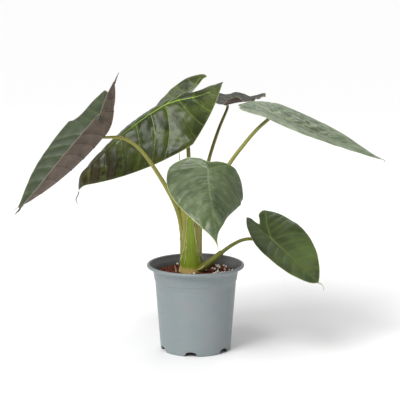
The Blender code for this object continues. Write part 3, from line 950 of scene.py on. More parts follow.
def scatter_tree() -> Tree:
    """Pieces from a collection scattered over a surface, each with its own size, turn and tint.

    Returns:
        The tree.
    """
    t = Tree("Scattered Crumbs", {"Pieces": ("Collection", None), "Density": ("Float", 1000.0),
                                  "Spacing": ("Float", 0.001), "Smallest": ("Float", 0.5),
                                  "Largest": ("Float", 1.5), "Lift": ("Float", 0.0), "Seed": ("Int", 1),
                                  "Keep Surface": ("Bool", True), "Material": ("Material", None)})
    weight = t.out("GeometryNodeInputNamedAttribute", {"Name": "weight"}, data_type="FLOAT")
    spots = t.node("GeometryNodeDistributePointsOnFaces",
                   {"Mesh": t.given["Geometry"], "Distance Min": t.given["Spacing"],
                    "Density Max": t.given["Density"], "Density Factor": weight, "Seed": t.given["Seed"]},
                   distribute_method="POISSON")
    lift = t.out("ShaderNodeCombineXYZ", {2: t.given["Lift"]})
    raised = t.out("GeometryNodeSetPosition", {"Geometry": spots.outputs["Points"], "Offset": lift})
    any_turn = t.node("FunctionNodeRandomValue", {"Max": (math.tau,) * 3, "Seed": t.given["Seed"]},
                      data_type="FLOAT_VECTOR").outputs[0]
    size = t.node("FunctionNodeRandomValue", {2: t.given["Smallest"], 3: t.given["Largest"],
                                              "Seed": t.plus(t.given["Seed"], 7.0)},
                  data_type="FLOAT").outputs[1]
    pieces = t.node("GeometryNodeCollectionInfo", {"Collection": t.given["Pieces"], "Separate Children": True,
                                                   "Reset Children": True}).outputs[0]
    placed = t.node("GeometryNodeInstanceOnPoints",
                    {"Points": raised, "Instance": pieces, "Pick Instance": True, "Rotation": any_turn,
                     "Scale": size}).outputs[0]
    tint = t.node("FunctionNodeRandomValue", {"Seed": t.plus(t.given["Seed"], 13.0)},
                  data_type="FLOAT").outputs[1]
    tinted = t.node("GeometryNodeStoreNamedAttribute", {"Geometry": placed, "Name": "tint", "Value": tint},
                    data_type="FLOAT", domain="INSTANCE").outputs[0]
    kept = t.node("GeometryNodeSwitch", {0: t.given["Keep Surface"], 2: t.given["Geometry"]},
                  input_type="GEOMETRY").outputs[0]
    both = t.node("GeometryNodeJoinGeometry")
    t.tree.links.new(kept, both.inputs[0])
    t.tree.links.new(tinted, both.inputs[0])
    t.close(both.outputs[0], t.given["Material"])
    return t


def strand_tree() -> Tree:
    """A round strand swept along a curve, tapering from its foot to its tip.

    Returns:
        The tree.
    """
    t = Tree("Tapered Strand", {"Foot Radius": ("Float", 0.001), "Middle Radius": ("Float", 0.0008),
                                "Tip Radius": ("Float", 0.0002), "Sides": ("Int", 10),
                                "Material": ("Material", None)})
    along = t.node("GeometryNodeSplineParameter").outputs["Factor"]
    early = t.node("ShaderNodeMapRange", {"Value": along, "From Min": 0.0, "From Max": 0.6,
                                          "To Min": t.given["Foot Radius"], "To Max": t.given["Middle Radius"]})
    late = t.node("ShaderNodeMapRange", {"Value": along, "From Min": 0.6, "From Max": 1.0, "To Min": 0.0,
                                         "To Max": t.minus(t.given["Middle Radius"],
                                                          t.given["Tip Radius"])})
    radius = t.minus(early.outputs[0], late.outputs[0])
    sized = t.out("GeometryNodeSetCurveRadius", {"Curve": t.given["Geometry"], "Radius": radius})
    circle = t.out("GeometryNodeCurvePrimitiveCircle", {"Resolution": t.given["Sides"], "Radius": 1.0})
    swept = t.node("GeometryNodeCurveToMesh", {"Curve": sized, "Profile Curve": circle, "Fill Caps": True,
                                               "Scale": radius})
    t.close(swept.outputs[0], t.given["Material"])
    return t


def route_curve(name: str, route: tuple | list | np.ndarray, count: int) -> bpy.types.Curve:
    """A poly curve through a smoothed route.

    Args:
        name: of the curve.
        route: points to pass through.
        count: of points on the curve.

    Returns:
        The curve.
    """
    points = spread(smooth_route(route, 12), count)[0]
    curve = bpy.data.curves.new(name, "CURVE")
    curve.dimensions = "3D"
    spline = curve.splines.new("POLY")
    spline.points.add(count - 1)
    for made, place in zip(spline.points, points):
        made.co = (*place, 1.0)
    return curve


def sweep(tree: Tree, name: str, route: tuple | list, radii: tuple[float, float, float], count: int, sides: int,
          finish: bpy.types.Material) -> bpy.types.Object:
    """Sweep a tapered round strand along a route.

    Args:
        tree: the strand tree.
        name: of the strand.
        route: points to pass through.
        radii: at its foot, its middle and its tip.
        count: of stations along it.
        sides: round it.
        finish: its material.

    Returns:
        The strand.
    """
    return tree.run(name, route_curve(name, route, count), Foot_Radius=radii[0], Middle_Radius=radii[1],
                    Tip_Radius=radii[2], Sides=sides, Material=finish)


def keep(piece: bpy.types.Object, slot: str | None, *nodes: str) -> bpy.types.Object:
    """Make a finished piece part of the plant and report it.

    Args:
        piece: the finished mesh object.
        slot: the record's material slot, or None; not used.
        nodes: CAD nodes it stands for.

    Returns:
        The piece.
    """
    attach(piece, "root")
    if nodes:
        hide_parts(*nodes)
    piece.data.calc_loop_triangles()
    LOG.info("%s: %d triangles", piece.name, len(piece.data.loop_triangles))
    return piece


# Pot


@dataclass
class Pot:
    """Thin-walled nursery pot, turned round Z."""

    height: float = 0.125
    wall: float = 0.0013
    foot_radius: float = 0.0505
    body_top: Pair = (0.0581, 0.0995)
    band_foot: Pair = (0.0594, 0.1035)
    band_top: Pair = (0.0612, 0.1150)
    rim_radius: float = 0.070
    bead: float = 0.0024         # radius of the rolled rim
    pad_radius: float = 0.034
    channel: Pair = (0.037, 0.0455)
    channel_lift: float = 0.005
    notch_width: float = 0.019
    notch_height: float = 0.007
    notch_step: float = 0.0015
    notches: int = 6
    first_notch: float = math.radians(251.5)
    corner: float = 0.0016
    groove_z: float = 0.0945
    groove: float = 0.00016
    sides: int = 160

    def profile(self) -> np.ndarray:
        """The closed section of the wall, as (radius, z), starting at the middle of the pad.

        Returns:
            The section's corners in order.
        """
        wall, foot, top_z = self.wall, self.foot_radius, self.height
        r_in, r_out = self.channel

        def taper(z: float) -> float:
            """Radius of the plain body at a height."""
            return foot + (self.body_top[0] - foot) * z / self.body_top[1]

        def between(a: Pair, b: Pair, out: float, up: float) -> Pair:
            """A corner between two others, by its share of the way out and up."""
            return a[0] + (b[0] - a[0]) * out, a[1] + (b[1] - a[1]) * up

        outer = [(foot - self.corner * (1 - math.sin(a)), self.corner * (1 - math.cos(a)))
                 for a in np.radians((0, 22, 45, 68, 90))]
        outer += [(taper(z), z) for z in (0.006, 0.012, 0.02, 0.03, 0.04, 0.05, 0.06, 0.07, 0.08, 0.09)]
        outer += [(taper(self.groove_z + dz) - self.groove * sink, self.groove_z + dz)
                  for dz, sink in ((-0.0008, 0), (-0.0003, 1), (0.0003, 1), (0.0008, 0))]
        outer += [between(self.body_top, self.band_foot, float(step(t)), t)
                  for t in (0.0, 0.12, 0.3, 0.45, 0.55, 0.7, 0.88, 1.0)]
        outer += [between(self.band_foot, self.band_top, t, t) for t in (0.08, 0.5, 0.9, 1.0)]
        centre = (self.rim_radius - self.bead, top_z - self.bead)
        rim = [(self.band_top[0] + out, self.band_top[1] + up)
               for out, up in ((0.0007, 0.0016), (0.0024, 0.0034), (0.0042, 0.0044))]
        rim += [(centre[0] + self.bead * math.cos(a), centre[1] + self.bead * math.sin(a))
                for a in np.radians(np.linspace(-125, 150, 18))]
        inner = [(centre[0] - self.bead - 0.0004, top_z - 0.0026), (self.band_top[0] + 0.0026, top_z - 0.0046),
                 (self.band_top[0] + 0.0004, top_z - 0.0072), (self.band_top[0] - wall, self.band_top[1] - 0.0006),
                 (self.band_foot[0] - wall, self.band_foot[1] + 0.0004),
                 (self.body_top[0] - wall, self.body_top[1] - 0.0004)]
        inner += [(taper(z) - wall, z) for z in (0.085, 0.065, 0.045, 0.025, 0.012)]
        inner += [(foot - wall, self.channel_lift + wall), (r_in + wall / 2, self.channel_lift + wall),
                  (self.pad_radius + wall / 2, wall), (0.0, wall)]
        under = [(0.0, 0.0), (self.pad_radius * 0.5, 0.0), (self.pad_radius, 0.0), (r_in, self.channel_lift),
                 (r_out, self.channel_lift), (r_out + wall, 0.0)]
        return np.array(under + outer + rim + inner)

    def notch(self) -> bpy.types.Object:
        """The arch that is cut out of the foot, along +X.

        Returns:
            A helper object without a material.
        """
        half, stepped, low = self.notch_width / 2, self.notch_step, -0.002
        crown = [(0.82 * half * math.sin(a), self.notch_height - 2.2 * stepped + 2.2 * stepped * math.cos(a))
                 for a in np.radians((85, 65, 45, 25, 0, -25, -45, -65, -85))]
        outline = [(half, low), (half, stepped * 1.6), (half - stepped, stepped * 1.6)] + crown
        outline += [(-half + stepped, stepped * 1.6), (-half, stepped * 1.6), (-half, low)]
        points = [(r, x, z) for r in (self.channel[1] - 0.002, self.foot_radius + 0.006) for x, z in outline]
        n = len(outline)
        faces = [tuple(range(n)), tuple(range(n, 2 * n))]
        faces += [(i, (i + 1) % n, (i + 1) % n + n, i + n) for i in range(n)]
        return Mesh(np.array(points), faces, {}).as_object("notch_arch", None, 30)

    def make(self) -> bpy.types.Object:
        """Turn the wall, cut its notches and dress it.

        Returns:
            The pot.
        """
        section = self.profile()
        line = bpy.data.meshes.new("pot_section")
        count = len(section)
        line.from_pydata([(r, 0.0, z) for r, z in np.vstack([section, section[:1]])],
                         [(i, i + 1) for i in range(count)], [])
        arch = self.notch()
        pot = turning_tree().run("pot", line, Sides=self.sides, Notches=self.notches,
                                 First_Notch=self.first_notch, Notch=arch, Material=PlasticFinish().made())
        bpy.data.objects.remove(arch)
        self.mark(pot.data)
        pot.data.set_sharp_from_angle(angle=math.radians(38))
        return keep(pot, "pot_plastic", "pot")

    def mark(self, data: bpy.types.Mesh) -> None:
        """Hold the wall's inside, which takes painted shade and splashes of mix, its turn and its wear at each point.

        Args:
            data: the pot's mesh.
        """
        places = np.zeros(len(data.vertices) * 3)
        data.vertices.foreach_get("co", places)
        x, y, z = places.reshape(-1, 3).T
        radius = np.hypot(x, y)
        knots = np.array([(self.foot_radius, 0.0), self.body_top, self.band_foot, self.band_top])
        outer = np.interp(z, knots[:, 1], knots[:, 0])
        above = z - self.band_top[1]
        flare = (above > -0.002) & (radius < self.rim_radius - 2 * self.bead + 0.0009)
        outside = (above > -0.002) & (radius + 0.0012 > self.band_top[0] + 1.05 * above)
        # the inside of the flare, which takes painted shade too
        inside_shade = flare & ~(outside & (z < self.height - 0.0046))
        held = {"inner": np.maximum(step(outer - radius, 0.0004, 0.0012), inside_shade),
                "turn": np.arctan2(y, np.abs(x)) / math.pi,
                "wear": np.maximum(step(z, 0.012, 0.001), 0.7 * step(z, 0.119, 0.124))}
        hold(data, held)


# Potting mix


@dataclass
class PottingMix:
    """The plug of coir and peat, its crumbs, and perlite among them."""

    level: float = 0.112
    radius: float = 0.0583
    wall: tuple[Pair, ...] = ((0.0567, 0.1015), (0.0560, 0.098), (0.0535, 0.06), (0.050, 0.02), (0.0465, 0.0068))
    rings: int = 46
    sides: int = 120
    relief: float = 0.0016
    sunk_edge: float = 0.0012
    top_depth: float = 0.006     # how far under the level a point still takes crumbs
    seed: int = 11
    crumb_sizes: tuple[Point, ...] = ((0.0017, 0.0012, 0.0009), (0.0024, 0.0010, 0.0007), (0.0011, 0.0010, 0.0009),
                                      (0.0027, 0.0003, 0.00025), (0.0022, 0.0005, 0.0003))
    grain_sizes: tuple[Point, ...] = ((0.0021, 0.0017, 0.0015), (0.0017, 0.0014, 0.0013), (0.0012, 0.0011, 0.0010))
    perlite: CrumblyFinish = CrumblyFinish("perlite", (0.92, 0.89, 0.82), (0.70, 0.60, 0.48), 900.0, 0.0004)

    def top(self) -> tuple[np.ndarray, Faces]:
        """The uneven upper surface.

        Returns:
            Its points and faces.
        """
        points, faces = [(0.0, 0.0, self.level)], []
        for row in range(1, self.rings + 1):
            points += ring(self.radius * row / self.rings, self.level, self.sides)
        places = np.array(points)
        reach = np.hypot(places[:, 0], places[:, 1]) / self.radius
        rough = ripple(places, 0.012, 1.7) + 0.5 * ripple(places, 0.004, 5.1)
        places[:, 2] += self.relief * rough - self.sunk_edge * step(reach, 0.8, 1.0)
        for k in range(self.sides):
            n = (k + 1) % self.sides
            faces.append((0, 1 + k, 1 + n))
            for row in range(self.rings - 1):
                a, b = 1 + row * self.sides, 1 + (row + 1) * self.sides
                faces.append((a + k, b + k, b + n, a + n))
        return places, faces

    def plug(self) -> Mesh:
        """The closed plug under the surface.

        Returns:
            The mesh, with a tint and a scatter weight at each point.
        """
        places, faces = self.top()
        first = len(places) - self.sides
        for r, z in self.wall:
            start = len(places)
            places = np.vstack([places, ring(r, z, self.sides)])
            for k in range(self.sides):
                n = (k + 1) % self.sides
                faces.append((first + k, start + k, start + n, first + n))
            first = start
        faces.append(tuple(reversed(range(first, first + self.sides))))
        tint = 0.35 + 0.3 * ripple(places, 0.003, 9.2)
        weight = step(np.hypot(places[:, 0], places[:, 1]), 0.0572, 0.0560)
        weight = weight * (places[:, 2] > self.level - self.top_depth)
        return Mesh(places, faces, {"tint": tint, "weight": weight})

    def crumb(self, name: str, size: Point, seed: float) -> bpy.types.Object:
        """One crumb shape of a few faces.

        Args:
            name: of its object.
            size: half sizes along X, Y and Z.
            seed: of its lumps.

        Returns:
            The object.
        """
        shape = bmesh.new()
        bmesh.ops.create_icosphere(shape, subdivisions=1, radius=1.0)
        for v in shape.verts:
            lump = 1 + 0.42 * noise.noise(v.co * 1.6 + Vector((seed, 0, 0)))
            v.co = Vector((v.co.x * size[0], v.co.y * size[1], v.co.z * size[2])) * lump
        data = bpy.data.meshes.new(name)
        shape.to_mesh(data)
        shape.free()
        return bpy.data.objects.new(name, data)

    def gathered(self, name: str, sizes: tuple[Point, ...]) -> bpy.types.Collection:
        """A collection of crumb shapes.

        Args:
            name: of the collection.
            sizes: half sizes of each shape.

        Returns:
            The collection.
        """
        made = bpy.data.collections.new(name)
        for k, size in enumerate(sizes):
            made.objects.link(self.crumb(f"{name}_{k}", size, 3.7 * k + self.seed))
        return made

    def make(self) -> list[bpy.types.Object]:
        """Build the plug with its crumbs, and the perlite.

        Returns:
            Both pieces.
        """
        tree = scatter_tree()
        crumbs = self.gathered("crumbs", self.crumb_sizes)
        plug = self.plug()
        start = plug.as_data("plug_start")
        perlite_start = start.copy()
        mix = tree.run("potting_mix", start, Pieces=crumbs, Density=620000.0, Spacing=0.0011, Smallest=0.55,
                       Largest=1.35, Lift=0.0003, Seed=self.seed, Keep_Surface=True, Material=CoirFinish().made())
        places = np.array([v.co for v in perlite_start.vertices])
        bias = 0.25 + 0.75 * step(places[:, 0], -0.01, 0.045)
        near_rim = step(np.hypot(places[:, 0], places[:, 1]), 0.0565, 0.053)
        weight = bias * near_rim * (places[:, 2] > self.level - self.top_depth)
        perlite_start.attributes["weight"].data.foreach_set("value", weight.astype(np.float32))
        grains = self.gathered("grains", self.grain_sizes)
        perlite = tree.run("perlite_grains", perlite_start, Pieces=grains, Density=24000.0, Spacing=0.0032,
                           Smallest=0.7, Largest=1.35, Lift=0.0020, Seed=self.seed + 4, Keep_Surface=False,
                           Material=self.perlite.made())
        for piece in crumbs.objects[:] + grains.objects[:]:
            bpy.data.objects.remove(piece)
        return [keep(mix, "potting_mix", "potting_mix"), keep(perlite, None)]


# Stalks


@dataclass(frozen=True)
class Stem:
    """Sizes of the false stem that the sheathing bases make up."""

    axis: Pair = (-0.0065, 0.0)
    foot: float = 0.1104
    radius: float = 0.0152
    core: float = 0.0034
    gap: float = 0.0004
    upright: float = 0.008
    leaf_gap: float = 0.0001


STEM = Stem()


@dataclass(frozen=True)
class Stalk:
    """One petiole with its sheathing base."""

    name: str
    sector: Pair
    route: tuple[Point, ...]
    sheath: float
    radii: Pair
    leaf: str
    finish: StalkFinish
    approach: float = 0.006      # last stretch, square to the blade
    collar: Pair = (0.0, 0.0)    # length and added radius of a sheath that ends in a step
    rings: int = 110
    fine: int = 4

    def section(self) -> np.ndarray:
        """Outline of the sheathing base: 7 corners on its outside, then side, inside and side.

        Returns:
            Twelve corners round the stem's axis.
        """
        gap, outer, inner = STEM.gap, STEM.radius, STEM.core
        middle = (outer + inner) / 2

        def span(r: float) -> Pair:
            """First and last angle at a radius, less half the gap to the next stalk."""
            lost = math.degrees(gap / r)
            return self.sector[0] + lost, self.sector[1] - lost

        places = [(outer, a) for a in np.linspace(*span(outer), 7)]
        places.append((middle, span(middle)[1]))
        places += [(inner, a) for a in np.linspace(*reversed(span(inner)), 3)]
        places.append((middle, span(middle)[0]))
        return np.array([(r * math.cos(math.radians(a)), r * math.sin(math.radians(a))) for r, a in places])

    def make(self) -> Mesh:
        """Loft the petiole from its sector of the stem into the underside of its blade.

        Returns:
            The mesh.
        """
        section = self.section()
        centroid = section.mean(axis=0)
        centres, tangents, run = self.centre_line(centroid)
        corners = np.arange(12 * self.fine) / self.fine
        closed = np.vstack([section, section[:1]]) - centroid
        flat = np.stack([np.interp(corners, np.arange(13), closed[:, k]) for k in (0, 1)], axis=1)
        for _ in range(2):
            flat = 0.5 * flat + 0.25 * (np.roll(flat, 1, axis=0) + np.roll(flat, -1, axis=0))
        angles = np.radians(sum(self.sector) / 2 - 90 + 30 * corners)
        circle = np.stack([np.cos(angles), np.sin(angles)], axis=1)
        ribs = (1 + 0.035 * np.cos(13 * angles) + 0.015 * np.cos(5 * angles + 1))[:, None]
        to_margin = np.minimum(np.abs(corners - 0.2), np.abs(corners - 5.8))
        points, paper, foot = [], [], []
        for centre, tangent, length in zip(centres, tangents, run):
            sheathing = float(1 - step(length / self.sheath))
            based, free = sheathing * flat * (1 + 0.3 * (ribs - 1)), self.radius(length, run[-1]) * circle * ribs
            shape = based + (1 - sheathing) * free
            turn = Vector((0, 0, 1)).rotation_difference(Vector(tangent))
            across, up = np.array(turn @ Vector((1, 0, 0))), np.array(turn @ Vector((0, 1, 0)))
            points.append(centre + shape[:, :1] * across + shape[:, 1:] * up)
            paper.append(step(to_margin, 0.45, 0.05) * step(sheathing, 0.05, 0.45))
            foot.append(np.full(len(corners), float(step(length, 0.016, 0.0))))
        sides = len(corners)
        layers = {"along": np.repeat(run / run[-1], sides), "turn": np.tile(corners / 12, self.rings),
                  "paper": np.concatenate(paper), "foot": np.concatenate(foot)}
        return Mesh(np.vstack(points), tube_faces(self.rings, sides), layers)

    def centre_line(self, centroid: np.ndarray) -> tuple[np.ndarray, np.ndarray, np.ndarray]:
        """The petiole's middle, from its foot, upright, to its blade, square to it.

        Args:
            centroid: middle of the base's section, from the stem's axis.

        Returns:
            Places, tangents and the length run at each.
        """
        base = np.array((STEM.axis[0] + centroid[0], STEM.axis[1] + centroid[1], STEM.foot))
        blade = BLADES[self.leaf]
        stations, _, frames = blade.frames()
        normal = frames[stations == 0][0][:, 2]
        end = np.array(blade.junction) - normal * STEM.leaf_gap
        slope = math.tan(math.radians(max(0.0, -min(blade.folds))))
        stand_off = 0.001 + self.radii[1] * slope
        route = [base, base + np.array((0, 0, STEM.upright)), *map(np.array, self.route),
                 np.array(blade.junction) - normal * (stand_off + self.approach), end]
        centres, run = spread(smooth_route(route, 14), self.rings)
        tangents = np.gradient(centres, axis=0)
        tangents[0], tangents[-1] = (0, 0, 1), normal
        return centres, tangents, run

    def radius(self, length: float, whole: float) -> float:
        """Radius of the free petiole, which swells at its blade and in a stepped sheath.

        Args:
            length: from the foot.
            whole: length of the petiole.

        Returns:
            The radius.
        """
        along = min(max((length - self.sheath) / (whole - self.sheath), 0.0), 1.0)
        radius = self.radii[0] + (self.radii[1] - self.radii[0]) * along
        radius *= 1 + 0.25 * float(step(whole - length, 0.004, 0.0))
        if length < self.collar[0]:
            radius += self.collar[1] * (1 - 0.62 * length / self.collar[0])
        return radius


@dataclass(frozen=True)
class Wrap:
    """A thin sheath margin that wraps part of the stem, from its foot upwards.

    Each row is (z, first angle, last angle, radius, x of its axis, y of its axis), angles in degrees.
    """

    stalk: str
    rows: tuple[tuple[float, ...], ...]
    thickness: float = 0.0006
    frill: float = 0.0006
    flare: float = 0.0010
    ribbing: float = 0.0002
    hollow: float = 0.00037815
    columns: int = 34
    per_span: int = 9

    def make(self) -> Mesh:
        """Build the wrap.

        Returns:
            A closed thin mesh with the petiole's layers.
        """
        rows = smooth_route(self.rows, self.per_span)
        across = np.linspace(-1, 1, self.columns)
        edge = step(np.abs(across), 0.80, 1.0)
        points, paper, foot, turn = [], [], [], []
        height = rows[-1, 0] - rows[0, 0]
        for z, first, last, radius, x, y in rows:
            angles = np.radians((first + last) / 2 + across * (last - first) / 2)
            frill = self.frill * edge * np.sin(z * 420 + across * 3)
            hollow = self.hollow * (1 - across ** 2)
            r = radius + frill + self.flare * edge + self.ribbing * np.cos(angles * 26) - hollow
            points.append(np.stack([x + r * np.cos(angles), y + r * np.sin(angles), np.full(len(r), z)], axis=1))
            upper = (z - rows[0, 0]) / height
            paper.append(step(np.abs(across), 0.88, 0.99))
            foot.append(np.full(len(r), float(step(upper, 0.30, 0.0))) + 0.4 * edge * (1 - upper))
            turn.append(angles / math.tau)
        skin = np.vstack(points)
        faces = grid_faces(len(rows), self.columns)
        normals = point_normals(skin, faces)
        thin = self.thickness * (1 - 0.6 * np.tile(edge, len(rows)))[:, None]
        layers = {"along": np.repeat((rows[:, 0] - rows[0, 0]) / 0.2, self.columns), "turn": np.concatenate(turn),
                  "paper": np.concatenate(paper), "foot": np.concatenate(foot)}
        doubled = {name: np.tile(held, 2) for name, held in layers.items()}
        return sheet_mesh(skin + normals * thin / 2, skin - normals * thin / 2, faces, doubled)


# Leaf blades


@dataclass(frozen=True)
class Vein:
    """A rib or lateral on the flat blade."""

    line: np.ndarray
    widths: Pair
    order: float | None = None
    side: int = 0


@dataclass(frozen=True)
class Blade:
    """One leaf blade. Angles in degrees, sizes in metres, left as seen along the midrib from above."""

    name: str
    junction: Point
    heading: float
    pitch: float
    roll: float
    length: float
    lobe: float
    sinus: float
    widths: Pair
    droop: float
    sway: float
    twist: float
    lobe_rise: float
    folds: Pair
    curls: Pair
    lobe_folds: Pair
    bluntness: Pair
    drip: float
    slot: str
    finish: LeafFinish
    quilting: float = 0.0009
    blisters: float = 0.0003
    wave: float = 0.0007
    laterals: tuple[float, ...] = (0.0, 0.13, 0.27, 0.42, 0.58, 0.75)
    rib_width: float = 0.0010
    thickness: float = 0.0006
    spacing: float = 0.00125     # of the points of the flat mesh
    crease: float = 0.006        # half width of the bend along the midrib
    lobes: Pair = (1.0, 1.0)
    sinus_gap: Pair = (1.0, 1.0)
    hook: float = 0.0
    vein_end: float = 0.00022     # half width of a lateral at its end
    vein_stop: float = 0.0015     # how far from the margin a lateral ends
    rib_height: float = 0.0009
    vein_height: float = 0.0003
    rib_groove: float = 0.00025
    vein_groove: float = 0.00016

    def frames(self) -> tuple[np.ndarray, np.ndarray, np.ndarray]:
        """The midrib in space.

        Returns:
            Stations along it, their places and their frames (columns: along, left, up).
        """
        heading, pitch, roll = (math.radians(a) for a in (self.heading, self.pitch, self.roll))
        along = np.array((math.cos(heading) * math.cos(pitch), math.sin(heading) * math.cos(pitch),
                          math.sin(pitch)))
        level = np.array((-math.sin(heading), math.cos(heading), 0))
        left = level * math.cos(roll) + np.cross(along, level) * math.sin(roll)
        start = np.stack([along, left, np.cross(along, left)], axis=1)
        part = np.linspace(0, 1, 41)
        kink = 1 - (1 - part) ** 4
        pieces = []
        for sign, length, sway, bend, twist in (
                (-1, self.lobe, 0 * part, self.lobe_rise * kink, 0 * part),
                (1, self.length, self.sway * part, self.droop * part + self.hook * step(part, 0.80, 1.0),
                 self.twist * part)):
            frames = start @ turned_by(2, sway) @ turned_by(1, bend) @ turned_by(0, twist)
            steps = (frames[1:, :, 0] + frames[:-1, :, 0]) / 2 * sign * length / (len(part) - 1)
            places = np.array(self.junction) + np.vstack([np.zeros(3), np.cumsum(steps, axis=0)])
            pieces.append((sign * length * part, places, frames))
        (u0, p0, f0), (u1, p1, f1) = pieces
        return (np.concatenate([u0[::-1], u1[1:]]), np.concatenate([p0[::-1], p1[1:]]),
                np.concatenate([f0[::-1], f1[1:]]))

    def surface(self, flat: np.ndarray) -> np.ndarray:
        """Bend the flat blade into place.

        Args:
            flat: points (along, across), across positive on the left.

        Returns:
            Their places in space.
        """
        stations, places, frames = self.frames()
        u, v = flat[:, 0], flat[:, 1]
        is_left = v >= 0

        def halves(pair: Pair) -> np.ndarray:
            """The left or right value at each point."""
            return np.where(is_left, pair[0], pair[1])

        centre = np.stack([np.interp(u, stations, places[:, k]) for k in range(3)], axis=1)
        beyond = np.maximum(u - self.length, 0)[:, None] * frames[-1][:, 0]
        beyond += np.minimum(u + self.lobe, 0)[:, None] * frames[0][:, 0]
        left = np.stack([np.interp(u, stations, frames[:, k, 1]) for k in range(3)], axis=1)
        up = np.stack([np.interp(u, stations, frames[:, k, 2]) for k in range(3)], axis=1)
        back = np.clip(-u / self.lobe, 0, 1)
        rise = np.radians(halves(self.folds) + back * halves(self.lobe_folds))
        curl = np.radians(halves(self.curls)) / halves(self.widths)
        curl = np.where(np.abs(curl) < 1e-6, 1e-6, curl)
        reach = np.hypot(v, self.crease) - self.crease
        out = (np.sin(rise) - np.sin(rise - curl * reach)) / curl + np.abs(v) - reach
        height = (np.cos(rise - curl * reach) - np.cos(rise)) / curl
        side = np.where(is_left, 1.0, -1.0)
        return centre + beyond + (side * out)[:, None] * left + height[:, None] * up

    def outline(self, side: int, per_span: int = 14) -> np.ndarray:
        """Flat outline of one half, from the foot of the sinus round the lobe to the drip tip.

        Args:
            side: 0 for left, 1 for right.
            per_span: points between two knots.

        Returns:
            The outline's points.
        """
        lobe, width, reach = self.lobe, self.widths[side], self.lobes[side]
        knots = [(-self.sinus * lobe, 0.0)]
        knots += [(-(self.sinus + (reach - self.sinus) * u) * lobe, v * width * self.sinus_gap[side])
                  for u, v in OUTLINE.sinus]
        knots += [(u * lobe * reach, v * width) for u, v in OUTLINE.lobe]
        knots += [(u * self.length, v ** (1 - self.bluntness[side]) * width) for u, v in OUTLINE.fore]
        knots += [(self.length, OUTLINE.drip), (self.length + self.drip, OUTLINE.drip * 0.4)]
        curve = smooth_route(knots[:-1], per_span)
        flat = np.vstack([curve, knots[-1]])
        flat[:, 1] = np.maximum(flat[:, 1], 0.0)
        length = np.linalg.norm(np.diff(flat, axis=0), axis=1).sum()
        even = spread(flat, int(length / self.spacing) + 2)[0]
        return even * (1, (1, -1)[side])

    def half_width(self, side: int, u: float) -> float:
        """Width of one half at a station, outside the sinus.

        Args:
            side: 0 for left, 1 for right.
            u: the station.

        Returns:
            The width.
        """
        rim = self.outline(side)
        last = int(np.argmin(rim[:, 0]))
        return float(np.interp(u, rim[last:, 0], np.abs(rim[last:, 1])))

    def veins(self) -> list[Vein]:
        """Midrib, back ribs and laterals on the flat blade.

        Returns:
            The veins; a lateral has an order that rises from the back lobe to the tip.
        """
        fine = self.rib_width * 0.42
        found = [Vein(np.array([(0.0, 0.0), (self.length * 0.995, 0.0)]), (self.rib_width, 0.0003))]
        for side, sign in ((0, 1), (1, -1)):
            width = self.widths[side]
            lobe = self.lobe * self.lobes[side]
            bow = bezier((0, 0), (-0.50 * lobe, sign * 0.12 * width), (-0.90 * lobe, sign * 0.50 * width))
            found.append(Vein(bow, (self.rib_width * 0.8, 0.0003), None, sign))
            for k, part in enumerate((0.80, 0.52, 0.26)):
                start = bow[int(part * (len(bow) - 1))]
                u = start[0] - 0.10 * lobe * (1 - part)
                end = (u, sign * (self.half_width(side, u) - self.vein_stop))
                middle = (start[0] + 0.35 * (u - start[0]) + 0.02 * lobe, 0.5 * (start[1] + end[1]))
                found.append(Vein(bezier(start, middle, end), (fine * 0.8, self.vein_end), float(k), sign))
            for k, part in enumerate(self.laterals):
                u0 = part * self.length
                u1 = self.length * (part + 0.25 * math.sqrt(1 - part))
                reach = self.half_width(side, u1) - self.vein_stop
                middle = (u0 + 0.22 * (u1 - u0), sign * 0.62 * max(reach, 0.0))
                line = bezier((u0, 0), middle, (u1, sign * reach))
                found.append(Vein(line, (fine, self.vein_end), 3.0 + k, sign))
        return found

    def flat_mesh(self, veins: list[Vein]) -> tuple[np.ndarray, Faces, np.ndarray]:
        """Triangulate the flat blade along its outline and its veins.

        Args:
            veins: of the blade.

        Returns:
            Points, faces and the outline.
        """
        left, right = self.outline(0), self.outline(1)
        rim = np.vstack([left, right[::-1][:-1]])
        lines = [rim]
        edges = [(i, (i + 1) % len(rim)) for i in range(len(rim))]
        count = len(rim)
        for vein in veins:
            length = np.linalg.norm(np.diff(vein.line, axis=0), axis=1).sum()
            line = spread(vein.line, max(int(length / self.spacing), 3))[0]
            edges += [(count + i, count + i + 1) for i in range(len(line) - 1)]
            lines.append(line)
            count += len(line)
        fixed = np.vstack(lines)
        s = self.spacing
        grid = np.array([(u + s / 2 * (row % 2), v) for row, v in enumerate(np.arange(-0.11, 0.11, s * 0.866))
                         for u in np.arange(-self.lobe - s, self.length + s, s)])
        grid = grid[inside(grid, rim)]
        clear = np.full(len(grid), np.inf)
        for k in range(0, len(fixed), 64):
            gaps = np.linalg.norm(grid[:, None] - fixed[None, k:k + 64], axis=2).min(axis=1)
            clear = np.minimum(clear, gaps)
        flat = np.vstack([fixed, grid[clear > 0.62 * s]])
        found = delaunay_2d_cdt([Vector(p) for p in flat.tolist()], edges, [], 1, 1e-7)
        return np.array([tuple(p) for p in found[0]]), [tuple(face) for face in found[2]], rim

